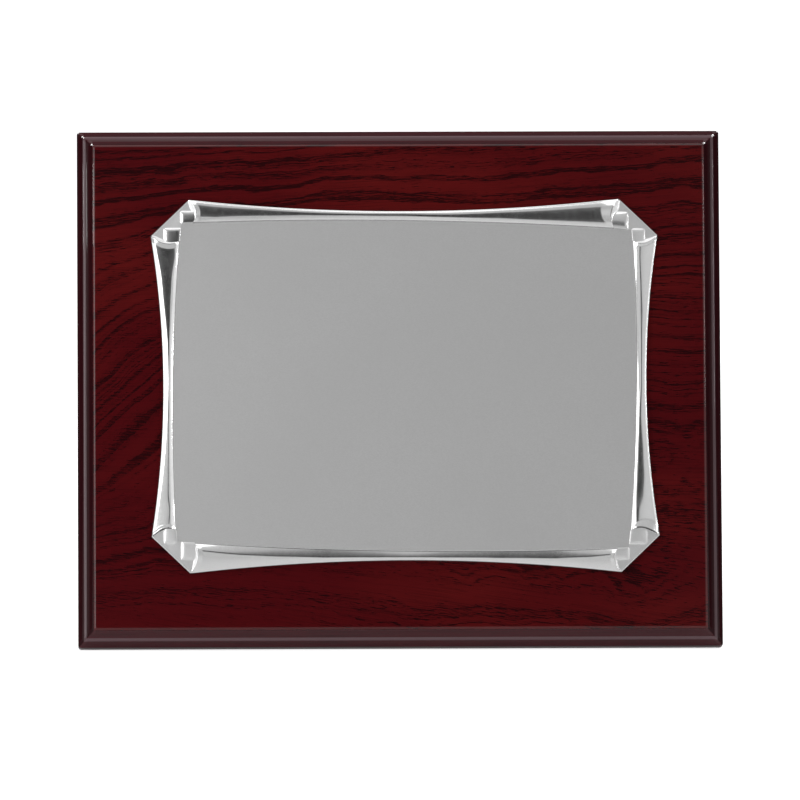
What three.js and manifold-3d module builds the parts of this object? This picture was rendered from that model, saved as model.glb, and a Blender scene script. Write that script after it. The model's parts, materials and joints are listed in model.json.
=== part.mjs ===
// Award plaque: a lacquered, veneered board with a routed edge, a stamped
// aluminium scroll plate taped to its face, and on the back a velvet lining,
// a folding easel strut on a pin hinge, and a swinging hanging ring.
//
// Frame: millimetres, +X to the viewer's right, +Z up, the face looks to -Y.
// The plaque stands on its own: bottom back edge and strut foot on z = 0,
// leaning back by LEAN. Everything on the board is modelled in board axes
// (x right, y out of the back, z up the board; the back face of the board is
// y = 0 and its bottom edge z = 0), in one group that leans back.
import * as THREE from "three";
import { mergeVertices } from "three/addons/utils/BufferGeometryUtils.js";
import Module from "manifold-3d";

const wasm = await Module();
wasm.setup();

// ---------------------------------------------------------------- dimensions
const DEG = Math.PI / 180;
const LEAN = 12 * DEG; // board leans back from upright
const OPEN = 22 * DEG; // strut, measured from the board's back

const BOARD_W = 250;
const BOARD_H = 202;
const BOARD_T = 15; // core and veneer together
const VENEER_T = 0.6;
const GLUE = 0.03; // glue line between laminated sheets
const CORNER_R = 1.1; // plan radius of the outer corners
const VELVET_T = 0.6;
const VELVET_INSET = 3.5;

// Routed edge, inside to outside: [inset from the edge, depth from the face].
const ARRIS_R = [1.1, 0.9]; // half-axes of the rounded panel edge
const PANEL_INSET = 7.1;
const EDGE_PROFILE = [
  [6.0, 0.9],
  [5.3, 1.98],
  [4.5, 2.98],
  [3.45, 3.9],
  [3.12, 3.93],
  [2.72, 4.05],
  [2.36, 4.26],
  [2.15, 4.55],
  [1.68, 5.42],
  [1.12, 6.28],
  [0.3, 7.2],
  [0.08, 7.5],
  [0, 7.95],
  [0, 14.0],
  [0.08, 14.4],
  [0.3, 14.72],
  [0.62, 14.94],
  [1.0, 15.0],
];

// Scroll plate, in plate axes (p right, q up, z out of the face).
const PLATE_X = 2.0; // plate centre on the board
const PLATE_Z = 101;
const PLATE_W = 197;
const PLATE_H = 146.2;
const TIP_P = 83.6; // top and bottom tips, half spacing
const TIP_Q = 58.8; // side tips, half spacing
const SAG = 4.7; // hollow of each outer edge
const FIELD_W = 174.8; // engraving field, corner to corner
const FIELD_H = 124.2;
const FIELD_TURN = 0.95 * DEG; // field is turned clockwise in its border
const FIELD_BOW = 2.2; // outward bow of each field edge
const END_NARROW = 4.2; // roll end to field corner, at the roll's start
const END_WIDE = 6.7; // and at its end, going clockwise
const SHEET_T = 0.8;
const FIELD_Z = 1.9; // top of the field above the veneer
const RIM_Z = 0.95; // top of the turned-down rim above the veneer
const END_ARC = 2.0; // hollow of each roll end
const TAPE_T = FIELD_Z - SHEET_T - 2 * GLUE;

// Hinge and strut, in board axes.
const PIN_Y = 3.8;
const PIN_Z = 131;
const PIN_R = 1.2;
const PIN_LEN = 31;
const KNUCKLE_R = 2.2;
const KNUCKLE_BORE = 1.28;
const LEAF_T = 0.9;
const LEAF_W = 30;
const MID_KNUCKLE_W = 14.4;
const STRUT_CORE_T = 3;
const STRUT_VELVET_T = 0.5;
const STRUT_TOP_W = 36;
const STRUT_FOOT_W = 72;
const STRUT_TOP = -3.6; // below the pin

// Hanging ring, in board axes.
const RING_Z = 175;
const RING_WIRE = 1.0;
const RING_R = 11; // half width, to the wire's centre
const RING_LEG = 9;
const STRAP_W = 8;
const STRAP_T = 0.6;
const STRAP_EYE = 1.12;
const STRAP_LEN = 11;
const STRAP_Y = VELVET_T + GLUE + 0.05 + STRAP_EYE + STRAP_T; // ring axis

// ------------------------------------------------------------------ materials
const finish = (color, roughness, metalness) =>
  new THREE.MeshStandardMaterial({ color, roughness, metalness });
const lacquer = finish(0x2a0c10, 0.12, 0);
const veneer = finish(0x4a0f12, 0.1, 0);
const velvet = finish(0x0d0c0e, 0.95, 0);
const aluminium = finish(0xc9cacb, 0.25, 1);
const foam = finish(0xe8e6df, 0.9, 0);
const nickel = finish(0xb9b4a8, 0.3, 1);
const hardboard = finish(0x4d3826, 0.85, 0);

// -------------------------------------------------------------------- helpers
function solid(geometry) {
  const g = geometry.clone();
  for (const name of Object.keys(g.attributes))
    if (name !== "position") g.deleteAttribute(name);
  const m = mergeVertices(g.index ? g : g, 1e-4);
  return new wasm.Manifold(
    new wasm.Mesh({
      numProp: 3,
      vertProperties: new Float32Array(m.attributes.position.array),
      triVerts: new Uint32Array(m.index.array),
    }),
  );
}

function geometryOf(manifold) {
  const m = manifold.getMesh();
  const pos = new Float32Array(m.numVert * 3);
  for (let i = 0; i < m.numVert; i++)
    pos.set(
      m.vertProperties.subarray(i * m.numProp, i * m.numProp + 3),
      i * 3,
    );
  const g = new THREE.BufferGeometry();
  g.setAttribute("position", new THREE.BufferAttribute(pos, 3));
  g.setIndex(new THREE.BufferAttribute(new Uint32Array(m.triVerts), 1));
  g.computeVertexNormals();
  return g;
}

function indexed(positions, faces) {
  const g = new THREE.BufferGeometry();
  g.setAttribute("position", new THREE.Float32BufferAttribute(positions, 3));
  g.setIndex(faces);
  g.computeVertexNormals();
  return g;
}

function placed(geometry, x = 0, y = 0, z = 0, rx = 0) {
  const g = geometry.clone();
  if (rx) g.rotateX(rx);
  g.translate(x, y, z);
  return g;
}

// A cylinder along board y (through the board's thickness).
function boreY(r, y0, y1, x, z, n = 16) {
  const g = new THREE.CylinderGeometry(r, r, y1 - y0, n);
  return placed(g, x, (y0 + y1) / 2, z);
}

// A section drawn in (y, z), extruded along x between x0 and x1.
function alongX(points, x0, x1) {
  const g = new THREE.ExtrudeGeometry(
    new THREE.Shape(points.map(([y, z]) => new THREE.Vector2(y, z))),
    { depth: x1 - x0, bevelEnabled: false },
  );
  // shape x -> board y, shape y -> board z, extrusion -> board x
  const m = new THREE.Matrix4().set(0, 0, 1, x0, 1, 0, 0, 0, 0, 1, 0, 0, 0, 0, 0, 1);
  g.applyMatrix4(m);
  return g;
}

// An outline drawn in (x, z), extruded along y between y0 and y1.
function alongY(points, y0, y1) {
  const shape = new THREE.Shape(points.map(([x, z]) => new THREE.Vector2(x, z)));
  const g = new THREE.ExtrudeGeometry(shape, { depth: y1 - y0, bevelEnabled: false });
  // shape x -> x, shape y -> z, extrusion -> -y, then moved to start at y1
  const m = new THREE.Matrix4().set(1, 0, 0, 0, 0, 0, -1, y1, 0, 1, 0, 0, 0, 0, 0, 1);
  g.applyMatrix4(m);
  return g;
}

function circlePoints(cy, cz, r, n = 20) {
  return Array.from({ length: n }, (_, i) => {
    const a = (i / n) * 2 * Math.PI;
    return [cy + r * Math.cos(a), cz + r * Math.sin(a)];
  });
}

// Outline points of a rectangle with rounded corners, counter-clockwise.
function roundedRect(x0, z0, x1, z1, r, n = 3) {
  const pts = [];
  for (const [cx, cz, a0] of [
    [x1 - r, z0 + r, -90],
    [x1 - r, z1 - r, 0],
    [x0 + r, z1 - r, 90],
    [x0 + r, z0 + r, 180],
  ])
    for (let i = 0; i <= n; i++) {
      const a = (a0 + (90 * i) / n) * DEG;
      pts.push([cx + r * Math.cos(a), cz + r * Math.sin(a)]);
    }
  return pts;
}

// A closed body through a stack of outlines [[x, y, z], ...] of equal count,
// each counter-clockwise seen from -Y, from the front outline to the back one.
function loft(loops) {
  const n = loops[0].length;
  const pos = loops.flat(2);
  const faces = [];
  for (let k = 0; k + 1 < loops.length; k++)
    for (let i = 0; i < n; i++) {
      const j = (i + 1) % n;
      const a = k * n + i, b = k * n + j, c = (k + 1) * n + i, d = (k + 1) * n + j;
      faces.push(a, c, b, b, c, d);
    }
  const flat = loops[0].map(([x, , z]) => new THREE.Vector2(x, z));
  for (const [a, b, c] of THREE.ShapeUtils.triangulateShape(flat, []))
    faces.push(a, b, c);
  const last = (loops.length - 1) * n;
  const back = loops.at(-1).map(([x, , z]) => new THREE.Vector2(x, z));
  for (const [a, b, c] of THREE.ShapeUtils.triangulateShape(back, []))
    faces.push(last + a, last + c, last + b);
  return indexed(pos, faces);
}

// The board outline at one inset and depth below the face.
function boardLoop(inset, depth) {
  const r = Math.max(0.45, CORNER_R - 0.1 * inset);
  return roundedRect(
    -BOARD_W / 2 + inset, inset, BOARD_W / 2 - inset, BOARD_H - inset, r,
  ).map(([x, z]) => [x, -BOARD_T + depth, z]);
}

function arrisInset(depth) {
  const u = (ARRIS_R[1] - depth) / ARRIS_R[1];
  return PANEL_INSET - ARRIS_R[0] * Math.sqrt(Math.max(0, 1 - u * u));
}

const cut = (body, ...tools) =>
  tools.reduce((m, t) => m.subtract(solid(t)), solid(body));
const join = (...bodies) =>
  bodies.slice(1).reduce((m, t) => m.add(solid(t)), solid(bodies[0]));

const plaque = new THREE.Group(); // board axes, leans back
const strut = new THREE.Group(); // folded: parallel to the board; origin on the pin
const ring = new THREE.Group(); // origin on the ring's bar
plaque.add(strut, ring);

function add(parent, name, geometry, material) {
  const mesh = new THREE.Mesh(geometry, material);
  mesh.name = name;
  parent.add(mesh);
  return mesh;
}

// ---------------------------------------------------------------------- board
const HINGE_SCREWS = [[-10, 145.5], [10, 145.5]];
const HANGER_SCREW = [0, RING_Z - 7];
const SCREW_R = 1.4;

const coreLoops = [
  boardLoop(arrisInset(VENEER_T + GLUE), VENEER_T + GLUE),
  ...EDGE_PROFILE.map(([inset, depth]) => boardLoop(inset, depth)),
];
const pilots = [...HINGE_SCREWS, HANGER_SCREW].map(([x, z]) =>
  boreY(SCREW_R + 0.08, -10.4, 1, x, z),
);
add(plaque, "board_core", geometryOf(cut(loft(coreLoops), ...pilots)), lacquer);

add(
  plaque,
  "face_veneer",
  loft([0, 0.05, 0.16, 0.32, VENEER_T].map((d) => boardLoop(arrisInset(d), d))),
  veneer,
);

const velvetSheet = alongY(
  roundedRect(
    -BOARD_W / 2 + VELVET_INSET, VELVET_INSET,
    BOARD_W / 2 - VELVET_INSET, BOARD_H - VELVET_INSET, 3,
  ),
  GLUE,
  GLUE + VELVET_T,
);
add(
  plaque,
  "back_velvet",
  geometryOf(
    cut(
      velvetSheet,
      ...[...HINGE_SCREWS, HANGER_SCREW].map(([x, z]) => boreY(1.75, -1, 2, x, z)),
    ),
  ),
  velvet,
);

// --------------------------------------------------------------- scroll plate
// Each side is drawn in its own axes: a runs clockwise along the side, b points
// outwards. The roll starts narrow and ends wide.
const SIDES = [
  { p: [1, 0], q: [0, 1], tip: TIP_P, out: PLATE_H / 2, A: FIELD_W / 2, B: FIELD_H / 2 },
  { p: [0, -1], q: [1, 0], tip: TIP_Q, out: PLATE_W / 2, A: FIELD_H / 2, B: FIELD_W / 2 },
  { p: [-1, 0], q: [0, -1], tip: TIP_P, out: PLATE_H / 2, A: FIELD_W / 2, B: FIELD_H / 2 },
  { p: [0, 1], q: [-1, 0], tip: TIP_Q, out: PLATE_W / 2, A: FIELD_H / 2, B: FIELD_W / 2 },
].map((s) => {
  const c = Math.cos(FIELD_TURN), n = Math.sin(FIELD_TURN);
  return {
    ...s,
    start: [-s.A * c + s.B * n, s.A * n + s.B * c], // field corner at the roll's start
    end: [s.A * c + s.B * n, -s.A * n + s.B * c], // and at its end
    world: ([a, b]) => [a * s.p[0] + b * s.q[0], a * s.p[1] + b * s.q[1]],
  };
});
const mix = (u, v, k) => [u[0] + (v[0] - u[0]) * k, u[1] + (v[1] - u[1]) * k];
const smooth = (x) => {
  const t = Math.min(1, Math.max(0, x));
  return t * t * (3 - 2 * t);
};

// Outer and inner ends of the cross-section at t = -1 .. 1 along a side.
function section(s, t) {
  const outer = [s.tip * t, s.out - SAG * (1 - t * t)];
  const len = Math.hypot(s.end[0] - s.start[0], s.end[1] - s.start[1]);
  const k0 = END_NARROW / len, k1 = 1 - END_WIDE / len;
  const k = k0 + ((t + 1) / 2) * (k1 - k0);
  const inner = mix(s.start, s.end, k);
  inner[1] += FIELD_BOW * (1 - (2 * k - 1) ** 2);
  return [outer, inner];
}

// Height of the roll at a distance e from the outer edge, for a width w.
function rollHeight(e, w) {
  const rim = 0.7, bead = 0.9;
  const crown = 0.27 * w + 0.1;
  const shoulder = FIELD_Z - 0.15;
  if (e <= rim) {
    const u = 1 - e / rim;
    return RIM_Z + (shoulder - RIM_Z) * Math.sqrt(Math.max(0, 1 - u * u));
  }
  const span = w - rim - bead;
  if (e <= w - bead) {
    const x = (e - rim) / span, peak = 0.6;
    const foot = x < peak ? shoulder : FIELD_Z + 0.12;
    const u = x < peak ? (peak - x) / peak : (x - peak) / (1 - peak);
    return foot + (FIELD_Z + crown - foot) * Math.sqrt(Math.max(0, 1 - u * u * (2 - u * u) * 1.0));
  }
  const x = (e - (w - bead)) / bead;
  return FIELD_Z + 0.12 * (1 - x) + 0.32 * Math.sin(Math.PI * x);
}

const RINGS = [0, 0.03, 0.07, 0.14, 0.24, 0.36, 0.48, 0.6, 0.7, 0.79, 0.86, 0.92, 0.96, 1];
const TS = [-1, -0.985, -0.95, -0.86, -0.7, -0.5, -0.25, 0, 0.25, 0.5, 0.7, 0.86, 0.95, 0.985, 1];

// One column of [p, q, z] from the outline to the field.
function column(s, outer, inner, bend, height) {
  return RINGS.map((k) => {
    const at = mix(outer, inner, k);
    at[0] += bend * 4 * k * (1 - k);
    return [...s.world(at), height(k, Math.hypot(outer[0] - inner[0], outer[1] - inner[1]), at)];
  });
}

// The small inner coil that shows past each roll end, in side axes.
function coilHeight(at, from, to, b0, width) {
  const [a, b] = at;
  const c = (b - b0 - 0.25) / width;
  if (c <= 0 || c >= 1) return 0;
  const dir = Math.sign(to - from);
  const past = (a - to) * dir;
  const cap = past > 0 ? 0 : Math.min(1, -past / 0.5);
  return 1.7 * Math.sqrt(1 - (2 * c - 1) ** 2) * cap;
}

const columns = [];
SIDES.forEach((s, i) => {
  const next = SIDES[(i + 1) % 4];
  for (const t of TS) {
    const [outer, inner] = section(s, t);
    const near = smooth((Math.abs(t) - 0.8) / 0.2);
    columns.push(
      column(s, outer, inner, -Math.sign(t) * END_ARC * near, (k, w) => {
        const flare = 1 + 0.12 * smooth((Math.abs(t) - 0.95) / 0.05);
        const h = rollHeight(k * w, w);
        return h > FIELD_Z ? FIELD_Z + (h - FIELD_Z) * flare : h;
      }),
    );
  }
  // Corner: from this side's wide end to the next side's narrow start.
  const [o0, i0] = section(s, 1);
  const [o1n, i1n] = section(next, -1);
  const o0w = s.world(o0), i0w = s.world(i0);
  const o1w = next.world(o1n), i1w = next.world(i1n);
  const cornerW = s.world(s.end);
  const legA = Math.hypot(cornerW[0] - i0w[0], cornerW[1] - i0w[1]);
  const legB = Math.hypot(cornerW[0] - i1w[0], cornerW[1] - i1w[1]);
  const chamfer = Math.hypot(o1w[0] - o0w[0], o1w[1] - o0w[1]);
  const dots = [
    [0.7, 0.7, 0.85, 0], [2.4, 2.4, 0.45, 0], [4.6, 4.6, 0.15, 0],
    [chamfer / 2, legA, 0, 0],
    [chamfer - 4.4, legA + legB - 2.9, 0, 1], [chamfer - 2.0, legA + legB - 1.6, 0.45, 1], [chamfer - 0.7, legA + legB - 0.7, 0.85, 1],
  ];
  for (const [o, n, bend, side] of dots) {
    const ow = mix(o0w, o1w, o / chamfer);
    const nw = n <= legA ? mix(i0w, cornerW, n / legA) : mix(cornerW, i1w, (n - legA) / legB);
    const S = side ? next : s;
    const back = ([p, q]) => [p * S.p[0] + q * S.p[1], p * S.q[0] + q * S.q[1]];
    columns.push(
      column(S, back(ow), back(nw), (side ? 1 : -1) * END_ARC * bend, (k, w, at) => {
        const rimZ = Math.min(k * w / 0.7, 1);
        const base = RIM_Z + (FIELD_Z - RIM_Z) * Math.sqrt(1 - (1 - rimZ) ** 2);
        const coil = side
          ? coilHeight(at, i1n[0], i1n[0] - 4.6, i1n[1], 4.4)
          : coilHeight(at, i0[0], i0[0] + 4.8, i0[1], 5.6);
        return k >= 1 ? FIELD_Z : base + (k > 0.05 ? coil : 0);
      }),
    );
  }
});

function plateGeometry() {
  const n = columns.length, m = RINGS.length;
  const pos = [], faces = [];
  for (const down of [0, SHEET_T])
    for (const c of columns)
      for (const [p, q, z] of c) pos.push(PLATE_X + p, -BOARD_T - (z - down), PLATE_Z + q);
  const half = n * m;
  const id = (c, r, side) => side * half + (c % n) * m + r;
  for (let c = 0; c < n; c++) {
    for (let r = 0; r + 1 < m; r++) {
      faces.push(id(c, r, 0), id(c, r + 1, 0), id(c + 1, r, 0));
      faces.push(id(c + 1, r, 0), id(c, r + 1, 0), id(c + 1, r + 1, 0));
      faces.push(id(c, r, 1), id(c + 1, r, 1), id(c, r + 1, 1));
      faces.push(id(c + 1, r, 1), id(c + 1, r + 1, 1), id(c, r + 1, 1));
    }
    faces.push(id(c, 0, 0), id(c + 1, 0, 0), id(c, 0, 1));
    faces.push(id(c + 1, 0, 0), id(c + 1, 0, 1), id(c, 0, 1));
  }
  const rim = columns.map((c) => new THREE.Vector2(c[m - 1][0], c[m - 1][1]));
  const clockwise = THREE.ShapeUtils.isClockWise(rim);
  for (const [a, b, c] of THREE.ShapeUtils.triangulateShape(rim, [])) {
    const ids = [a, b, c];
    const area =
      (rim[b].x - rim[a].x) * (rim[c].y - rim[a].y) -
      (rim[c].x - rim[a].x) * (rim[b].y - rim[a].y);
    if (area < 0) ids.reverse();
    faces.push(...ids.map((v) => id(v, m - 1, 0)));
    faces.push(...ids.slice().reverse().map((v) => id(v, m - 1, 1)));
  }
  return indexed(pos, faces);
}
add(plaque, "scroll_plate", plateGeometry(), aluminium);

// Foam tape between the plate's field and the veneer.
for (const [name, x, z, w, h] of [
  ["tape_strip_top", 0, 50, 150, 12],
  ["tape_strip_bottom", 0, -50, 150, 12],
  ["tape_strip_left", -74, 0, 12, 80],
  ["tape_strip_right", 74, 0, 12, 80],
])
  add(
    plaque,
    name,
    placed(
      new THREE.BoxGeometry(w, TAPE_T, h),
      PLATE_X + x, -BOARD_T - GLUE - TAPE_T / 2, PLATE_Z + z,
    ),
    foam,
  );

// --------------------------------------------------------------------- screws
// Pan-head wood screw with a cross recess; the head's underside is at y = 0
// and the shank runs to -y.
function screw(headR, headH, shankR, length) {
  const profile = [
    [0, headH], [headR * 0.35, headH * 0.97], [headR * 0.7, headH * 0.8],
    [headR * 0.93, headH * 0.5], [headR, headH * 0.2], [headR * 0.96, 0],
    [shankR, 0], [shankR, -length + 2.6], [shankR * 0.55, -length + 1], [0, -length],
  ].map(([r, y]) => new THREE.Vector2(r, y));
  const body = new THREE.LatheGeometry(profile.reverse(), 18);
  const depth = headH * 0.8;
  const slot = (w, l) => placed(new THREE.BoxGeometry(w, depth * 2, l), 0, headH, 0);
  return cut(body, slot(0.75, headR * 1.05), slot(headR * 1.05, 0.75));
}
const hingePlateY = VELVET_T + GLUE + 0.1;
const screwBody = geometryOf(screw(2.8, 1.7, SCREW_R, 12));
HINGE_SCREWS.forEach(([x, z], i) =>
  add(
    plaque,
    i ? "hinge_screw_right" : "hinge_screw_left",
    placed(screwBody, x, hingePlateY + LEAF_T + 0.03, z),
    nickel,
  ),
);
add(
  plaque,
  "hanger_screw",
  placed(screwBody, HANGER_SCREW[0], STRAP_Y - STRAP_EYE + STRAP_T + 0.06, HANGER_SCREW[1]),
  nickel,
);

// ---------------------------------------------------------------------- hinge
// Upper leaf: a plate on the velvet that curls into two outer knuckles.
const upperPlate = alongY(
  roundedRect(-LEAF_W / 2, PIN_Z + 0.6, LEAF_W / 2, 152, 3, 4),
  hingePlateY,
  hingePlateY + LEAF_T,
);
const knuckle = (x0, x1) => alongX(circlePoints(PIN_Y, PIN_Z, KNUCKLE_R), x0, x1);
const neck = (x0, x1) =>
  alongX(
    [
      [hingePlateY, PIN_Z - 0.4], [PIN_Y - 1.4, PIN_Z - 0.9],
      [PIN_Y - 1.0, PIN_Z + 1.4], [hingePlateY + LEAF_T, PIN_Z + 3.4], [hingePlateY, PIN_Z + 3.4],
    ],
    x0, x1,
  );
const gapW = MID_KNUCKLE_W / 2 + 0.25;
add(
  plaque,
  "hinge_upper_leaf",
  geometryOf(
    join(upperPlate, knuckle(-LEAF_W / 2, -gapW), knuckle(gapW, LEAF_W / 2), neck(-LEAF_W / 2, -gapW), neck(gapW, LEAF_W / 2))
      .subtract(solid(alongX(circlePoints(PIN_Y, PIN_Z, KNUCKLE_BORE), -LEAF_W, LEAF_W)))
      .subtract(solid(placed(new THREE.BoxGeometry(2 * gapW, 8, 6.9), 0, PIN_Y, PIN_Z)))
      .subtract(solid(boreY(1.65, -2, 6, ...HINGE_SCREWS[0])))
      .subtract(solid(boreY(1.65, -2, 6, ...HINGE_SCREWS[1]))),
  ),
  nickel,
);
const pinProfile = [
  [0, -PIN_LEN / 2 - 0.6], [1.2, -PIN_LEN / 2 - 0.6], [1.6, -PIN_LEN / 2 - 0.35], [1.6, -PIN_LEN / 2 + 0.42],
  [PIN_R, -PIN_LEN / 2 + 0.42], [PIN_R, PIN_LEN / 2 - 0.42],
  [1.6, PIN_LEN / 2 - 0.42], [1.6, PIN_LEN / 2 + 0.35], [1.2, PIN_LEN / 2 + 0.6], [0, PIN_LEN / 2 + 0.6],
].map(([r, y]) => new THREE.Vector2(r, y));
const pin = new THREE.LatheGeometry(pinProfile, 20);
pin.rotateZ(-Math.PI / 2);
add(plaque, "hinge_pin", placed(pin, 0, PIN_Y, PIN_Z), nickel);

// Strut parts, folded flat, relative to the pin.
strut.position.set(0, PIN_Y, PIN_Z);
strut.rotation.x = OPEN;
const leafY0 = -KNUCKLE_R; // inner face of the lower leaf
const leafY1 = leafY0 + LEAF_T;
const lowerPlate = alongY(
  [[-13, -26], [-11, -28], [11, -28], [13, -26], [13, -4.2], [MID_KNUCKLE_W / 2, -4.2], [MID_KNUCKLE_W / 2, 0.2], [-MID_KNUCKLE_W / 2, 0.2], [-MID_KNUCKLE_W / 2, -4.2], [-13, -4.2]],
  leafY0,
  leafY1,
);
const midKnuckle = alongX(circlePoints(0, 0, KNUCKLE_R), -MID_KNUCKLE_W / 2, MID_KNUCKLE_W / 2);
// Stop tab: lies on the upper leaf when the strut is open.
const tabY = hingePlateY + LEAF_T + 0.06 - PIN_Y;
const stopTab = placed(
  new THREE.BoxGeometry(MID_KNUCKLE_W - 1, LEAF_T, 6.6),
  0, tabY + LEAF_T / 2, 1.0 + 3.3,
);
stopTab.rotateX(-OPEN);
const RIVETS = [[-7, -19], [7, -19]];
add(
  strut,
  "hinge_lower_leaf",
  geometryOf(
    join(lowerPlate, midKnuckle, stopTab)
      .subtract(solid(alongX(circlePoints(0, 0, KNUCKLE_BORE), -LEAF_W, LEAF_W)))
      .subtract(solid(boreY(1.65, -6, 6, ...RIVETS[0])))
      .subtract(solid(boreY(1.65, -6, 6, ...RIVETS[1]))),
  ),
  nickel,
);

// Floor height in board axes, under the leaning board's back edge.
const lowest = Math.min(
  ...coreLoops.flat().map(([, y, z]) => -y * Math.sin(LEAN) + z * Math.cos(LEAN)),
);
const boardMatrix = new THREE.Matrix4().makeRotationX(-LEAN);
const strutMatrix = boardMatrix
  .clone()
  .multiply(new THREE.Matrix4().makeTranslation(0, PIN_Y, PIN_Z))
  .multiply(new THREE.Matrix4().makeRotationX(OPEN));
const strutLength = 150;
const velvetY0 = leafY1 + GLUE;
const coreY0 = velvetY0 + STRUT_VELVET_T + GLUE;
const outerY0 = coreY0 + STRUT_CORE_T + GLUE;

// Outline of the strut, wider at the foot.
function strutOutline(edge) {
  const foot = STRUT_TOP - strutLength;
  const top = STRUT_TOP - edge;
  const wTop = STRUT_TOP_W / 2 - edge, wFoot = STRUT_FOOT_W / 2 - edge;
  const r = 4;
  const pts = [[-wFoot, foot], [wFoot, foot]];
  for (let i = 0; i <= 4; i++) {
    const a = (i / 4) * 90 * DEG;
    pts.push([wTop - r + r * Math.cos(a), top - r + r * Math.sin(a)]);
  }
  for (let i = 0; i <= 4; i++) {
    const a = (90 + (i / 4) * 90) * DEG;
    pts.push([-wTop + r + r * Math.cos(a), top - r + r * Math.sin(a)]);
  }
  return pts;
}
function strutSheet(edge, y0, y1, lift) {
  const floor = new THREE.BoxGeometry(400, 400, 100);
  floor.translate(0, 0, lowest + lift - 50);
  floor.applyMatrix4(strutMatrix.clone().invert());
  return geometryOf(
    cut(
      alongY(strutOutline(edge), y0, y1),
      floor,
      ...RIVETS.map(([x, z]) => boreY(1.65, -8, 12, x, z)),
    ),
  );
}
add(strut, "strut_core", strutSheet(0, coreY0, coreY0 + STRUT_CORE_T, 0), hardboard);
add(strut, "strut_velvet_inner", strutSheet(0.5, velvetY0, velvetY0 + STRUT_VELVET_T, 0.25), velvet);
add(strut, "strut_velvet_outer", strutSheet(0.5, outerY0, outerY0 + STRUT_VELVET_T, 0.25), velvet);

const rivetTop = outerY0 + STRUT_VELVET_T + GLUE;
const rivetProfile = [
  [0, leafY0 - 0.5], [2.2, leafY0 - 0.5], [2.6, leafY0 - 0.28], [2.6, leafY0 - GLUE], [1.55, leafY0 - GLUE],
  [1.55, rivetTop], [3.0, rivetTop], [3.0, rivetTop + 0.25], [2.3, rivetTop + 0.8], [1.2, rivetTop + 1.1], [0, rivetTop + 1.15],
].map(([r, y]) => new THREE.Vector2(r, y));
const rivet = new THREE.LatheGeometry(rivetProfile, 18);
add(strut, "strut_rivet_left", placed(rivet, RIVETS[0][0], 0, RIVETS[0][1]), nickel);
add(strut, "strut_rivet_right", placed(rivet, RIVETS[1][0], 0, RIVETS[1][1]), nickel);

// --------------------------------------------------------------- hanging ring
const eye = STRAP_EYE, eyeOut = STRAP_EYE + STRAP_T;
const strapBody = join(
  alongX(circlePoints(0, 0, eyeOut, 24), -STRAP_W / 2, STRAP_W / 2),
  alongX([[-eyeOut, -STRAP_LEN], [-eye, -STRAP_LEN], [-eye, 0], [-eyeOut, 0]], -STRAP_W / 2, STRAP_W / 2),
  alongX(
    [[-eye + 0.001, -STRAP_LEN], [-eye + STRAP_T, -STRAP_LEN], [-eye + STRAP_T, -3.6], [eyeOut - 0.25, -0.7], [eye - 0.4, -0.9], [-eye + 0.001, -2.6]],
    -STRAP_W / 2, STRAP_W / 2,
  ),
  alongX([[-eye - 0.1, -STRAP_LEN + 0.05], [-eye + 0.1, -STRAP_LEN + 0.05], [-eye + 0.1, -2], [-eye - 0.1, -2]], -STRAP_W / 2 + 0.05, STRAP_W / 2 - 0.05),
)
  .subtract(solid(alongX(circlePoints(0, 0, eye, 24), -STRAP_W, STRAP_W)))
  .subtract(solid(boreY(1.65, -4, 4, 0, -7)));
add(plaque, "hanger_strap", placed(geometryOf(strapBody), 0, STRAP_Y, RING_Z), nickel);

// A closed wire loop: a bar through the strap's eye, two legs and a half circle.
function ringPath() {
  const pts = [[0, 0], [RING_R - 2.2, 0]];
  for (let i = 1; i <= 4; i++) {
    const a = (i / 4) * 90 * DEG;
    pts.push([RING_R - 2.2 + 2.2 * Math.sin(a), -2.2 + 2.2 * Math.cos(a)]);
  }
  for (let i = 0; i <= 16; i++) {
    const a = (i / 16) * Math.PI;
    pts.push([RING_R * Math.cos(a), -RING_LEG - RING_R * Math.sin(a)]);
  }
  for (let i = 0; i <= 3; i++) {
    const a = (i / 4) * 90 * DEG;
    pts.push([-RING_R + 2.2 - 2.2 * Math.cos(a), -2.2 + 2.2 * Math.sin(a)]);
  }
  pts.push([-RING_R + 2.2, 0]);
  return pts.map(([x, z]) => new THREE.Vector3(x, 0, z));
}
function closedWire(path, r, n) {
  const pos = [], faces = [], count = path.length;
  path.forEach((at, i) => {
    const prev = path[(i + count - 1) % count], next = path[(i + 1) % count];
    const dir = new THREE.Vector3().subVectors(next, prev).normalize();
    const side = new THREE.Vector3(0, 1, 0).cross(dir).normalize();
    for (let k = 0; k < n; k++) {
      const a = (k / n) * 2 * Math.PI;
      pos.push(
        at.x + r * Math.cos(a) * side.x,
        at.y + r * Math.sin(a),
        at.z + r * Math.cos(a) * side.z,
      );
    }
    for (let k = 0; k < n; k++) {
      const a = i * n + k, b = i * n + ((k + 1) % n);
      const c = ((i + 1) % count) * n + k, d = ((i + 1) % count) * n + ((k + 1) % n);
      faces.push(a, b, c, b, d, c);
    }
  });
  return indexed(pos, faces);
}
ring.position.set(0, STRAP_Y, RING_Z);
ring.rotation.x = LEAN; // hangs straight down
add(ring, "hanger_ring", closedWire(ringPath(), RING_WIRE, 10), nickel);

// ------------------------------------------------------------- stand it on z=0
plaque.rotation.x = -LEAN;
const object = new THREE.Group();
object.add(plaque);
object.updateMatrixWorld(true);
const box = new THREE.Box3().setFromObject(object, true);
plaque.position.set(0, -(box.min.y + box.max.y) / 2, -box.min.z);

export default object;
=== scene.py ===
"""Looks for the award plaque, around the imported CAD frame."""
import json
import math

import bpy
import bmesh
import numpy as np
from mathutils import Matrix, Vector


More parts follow.
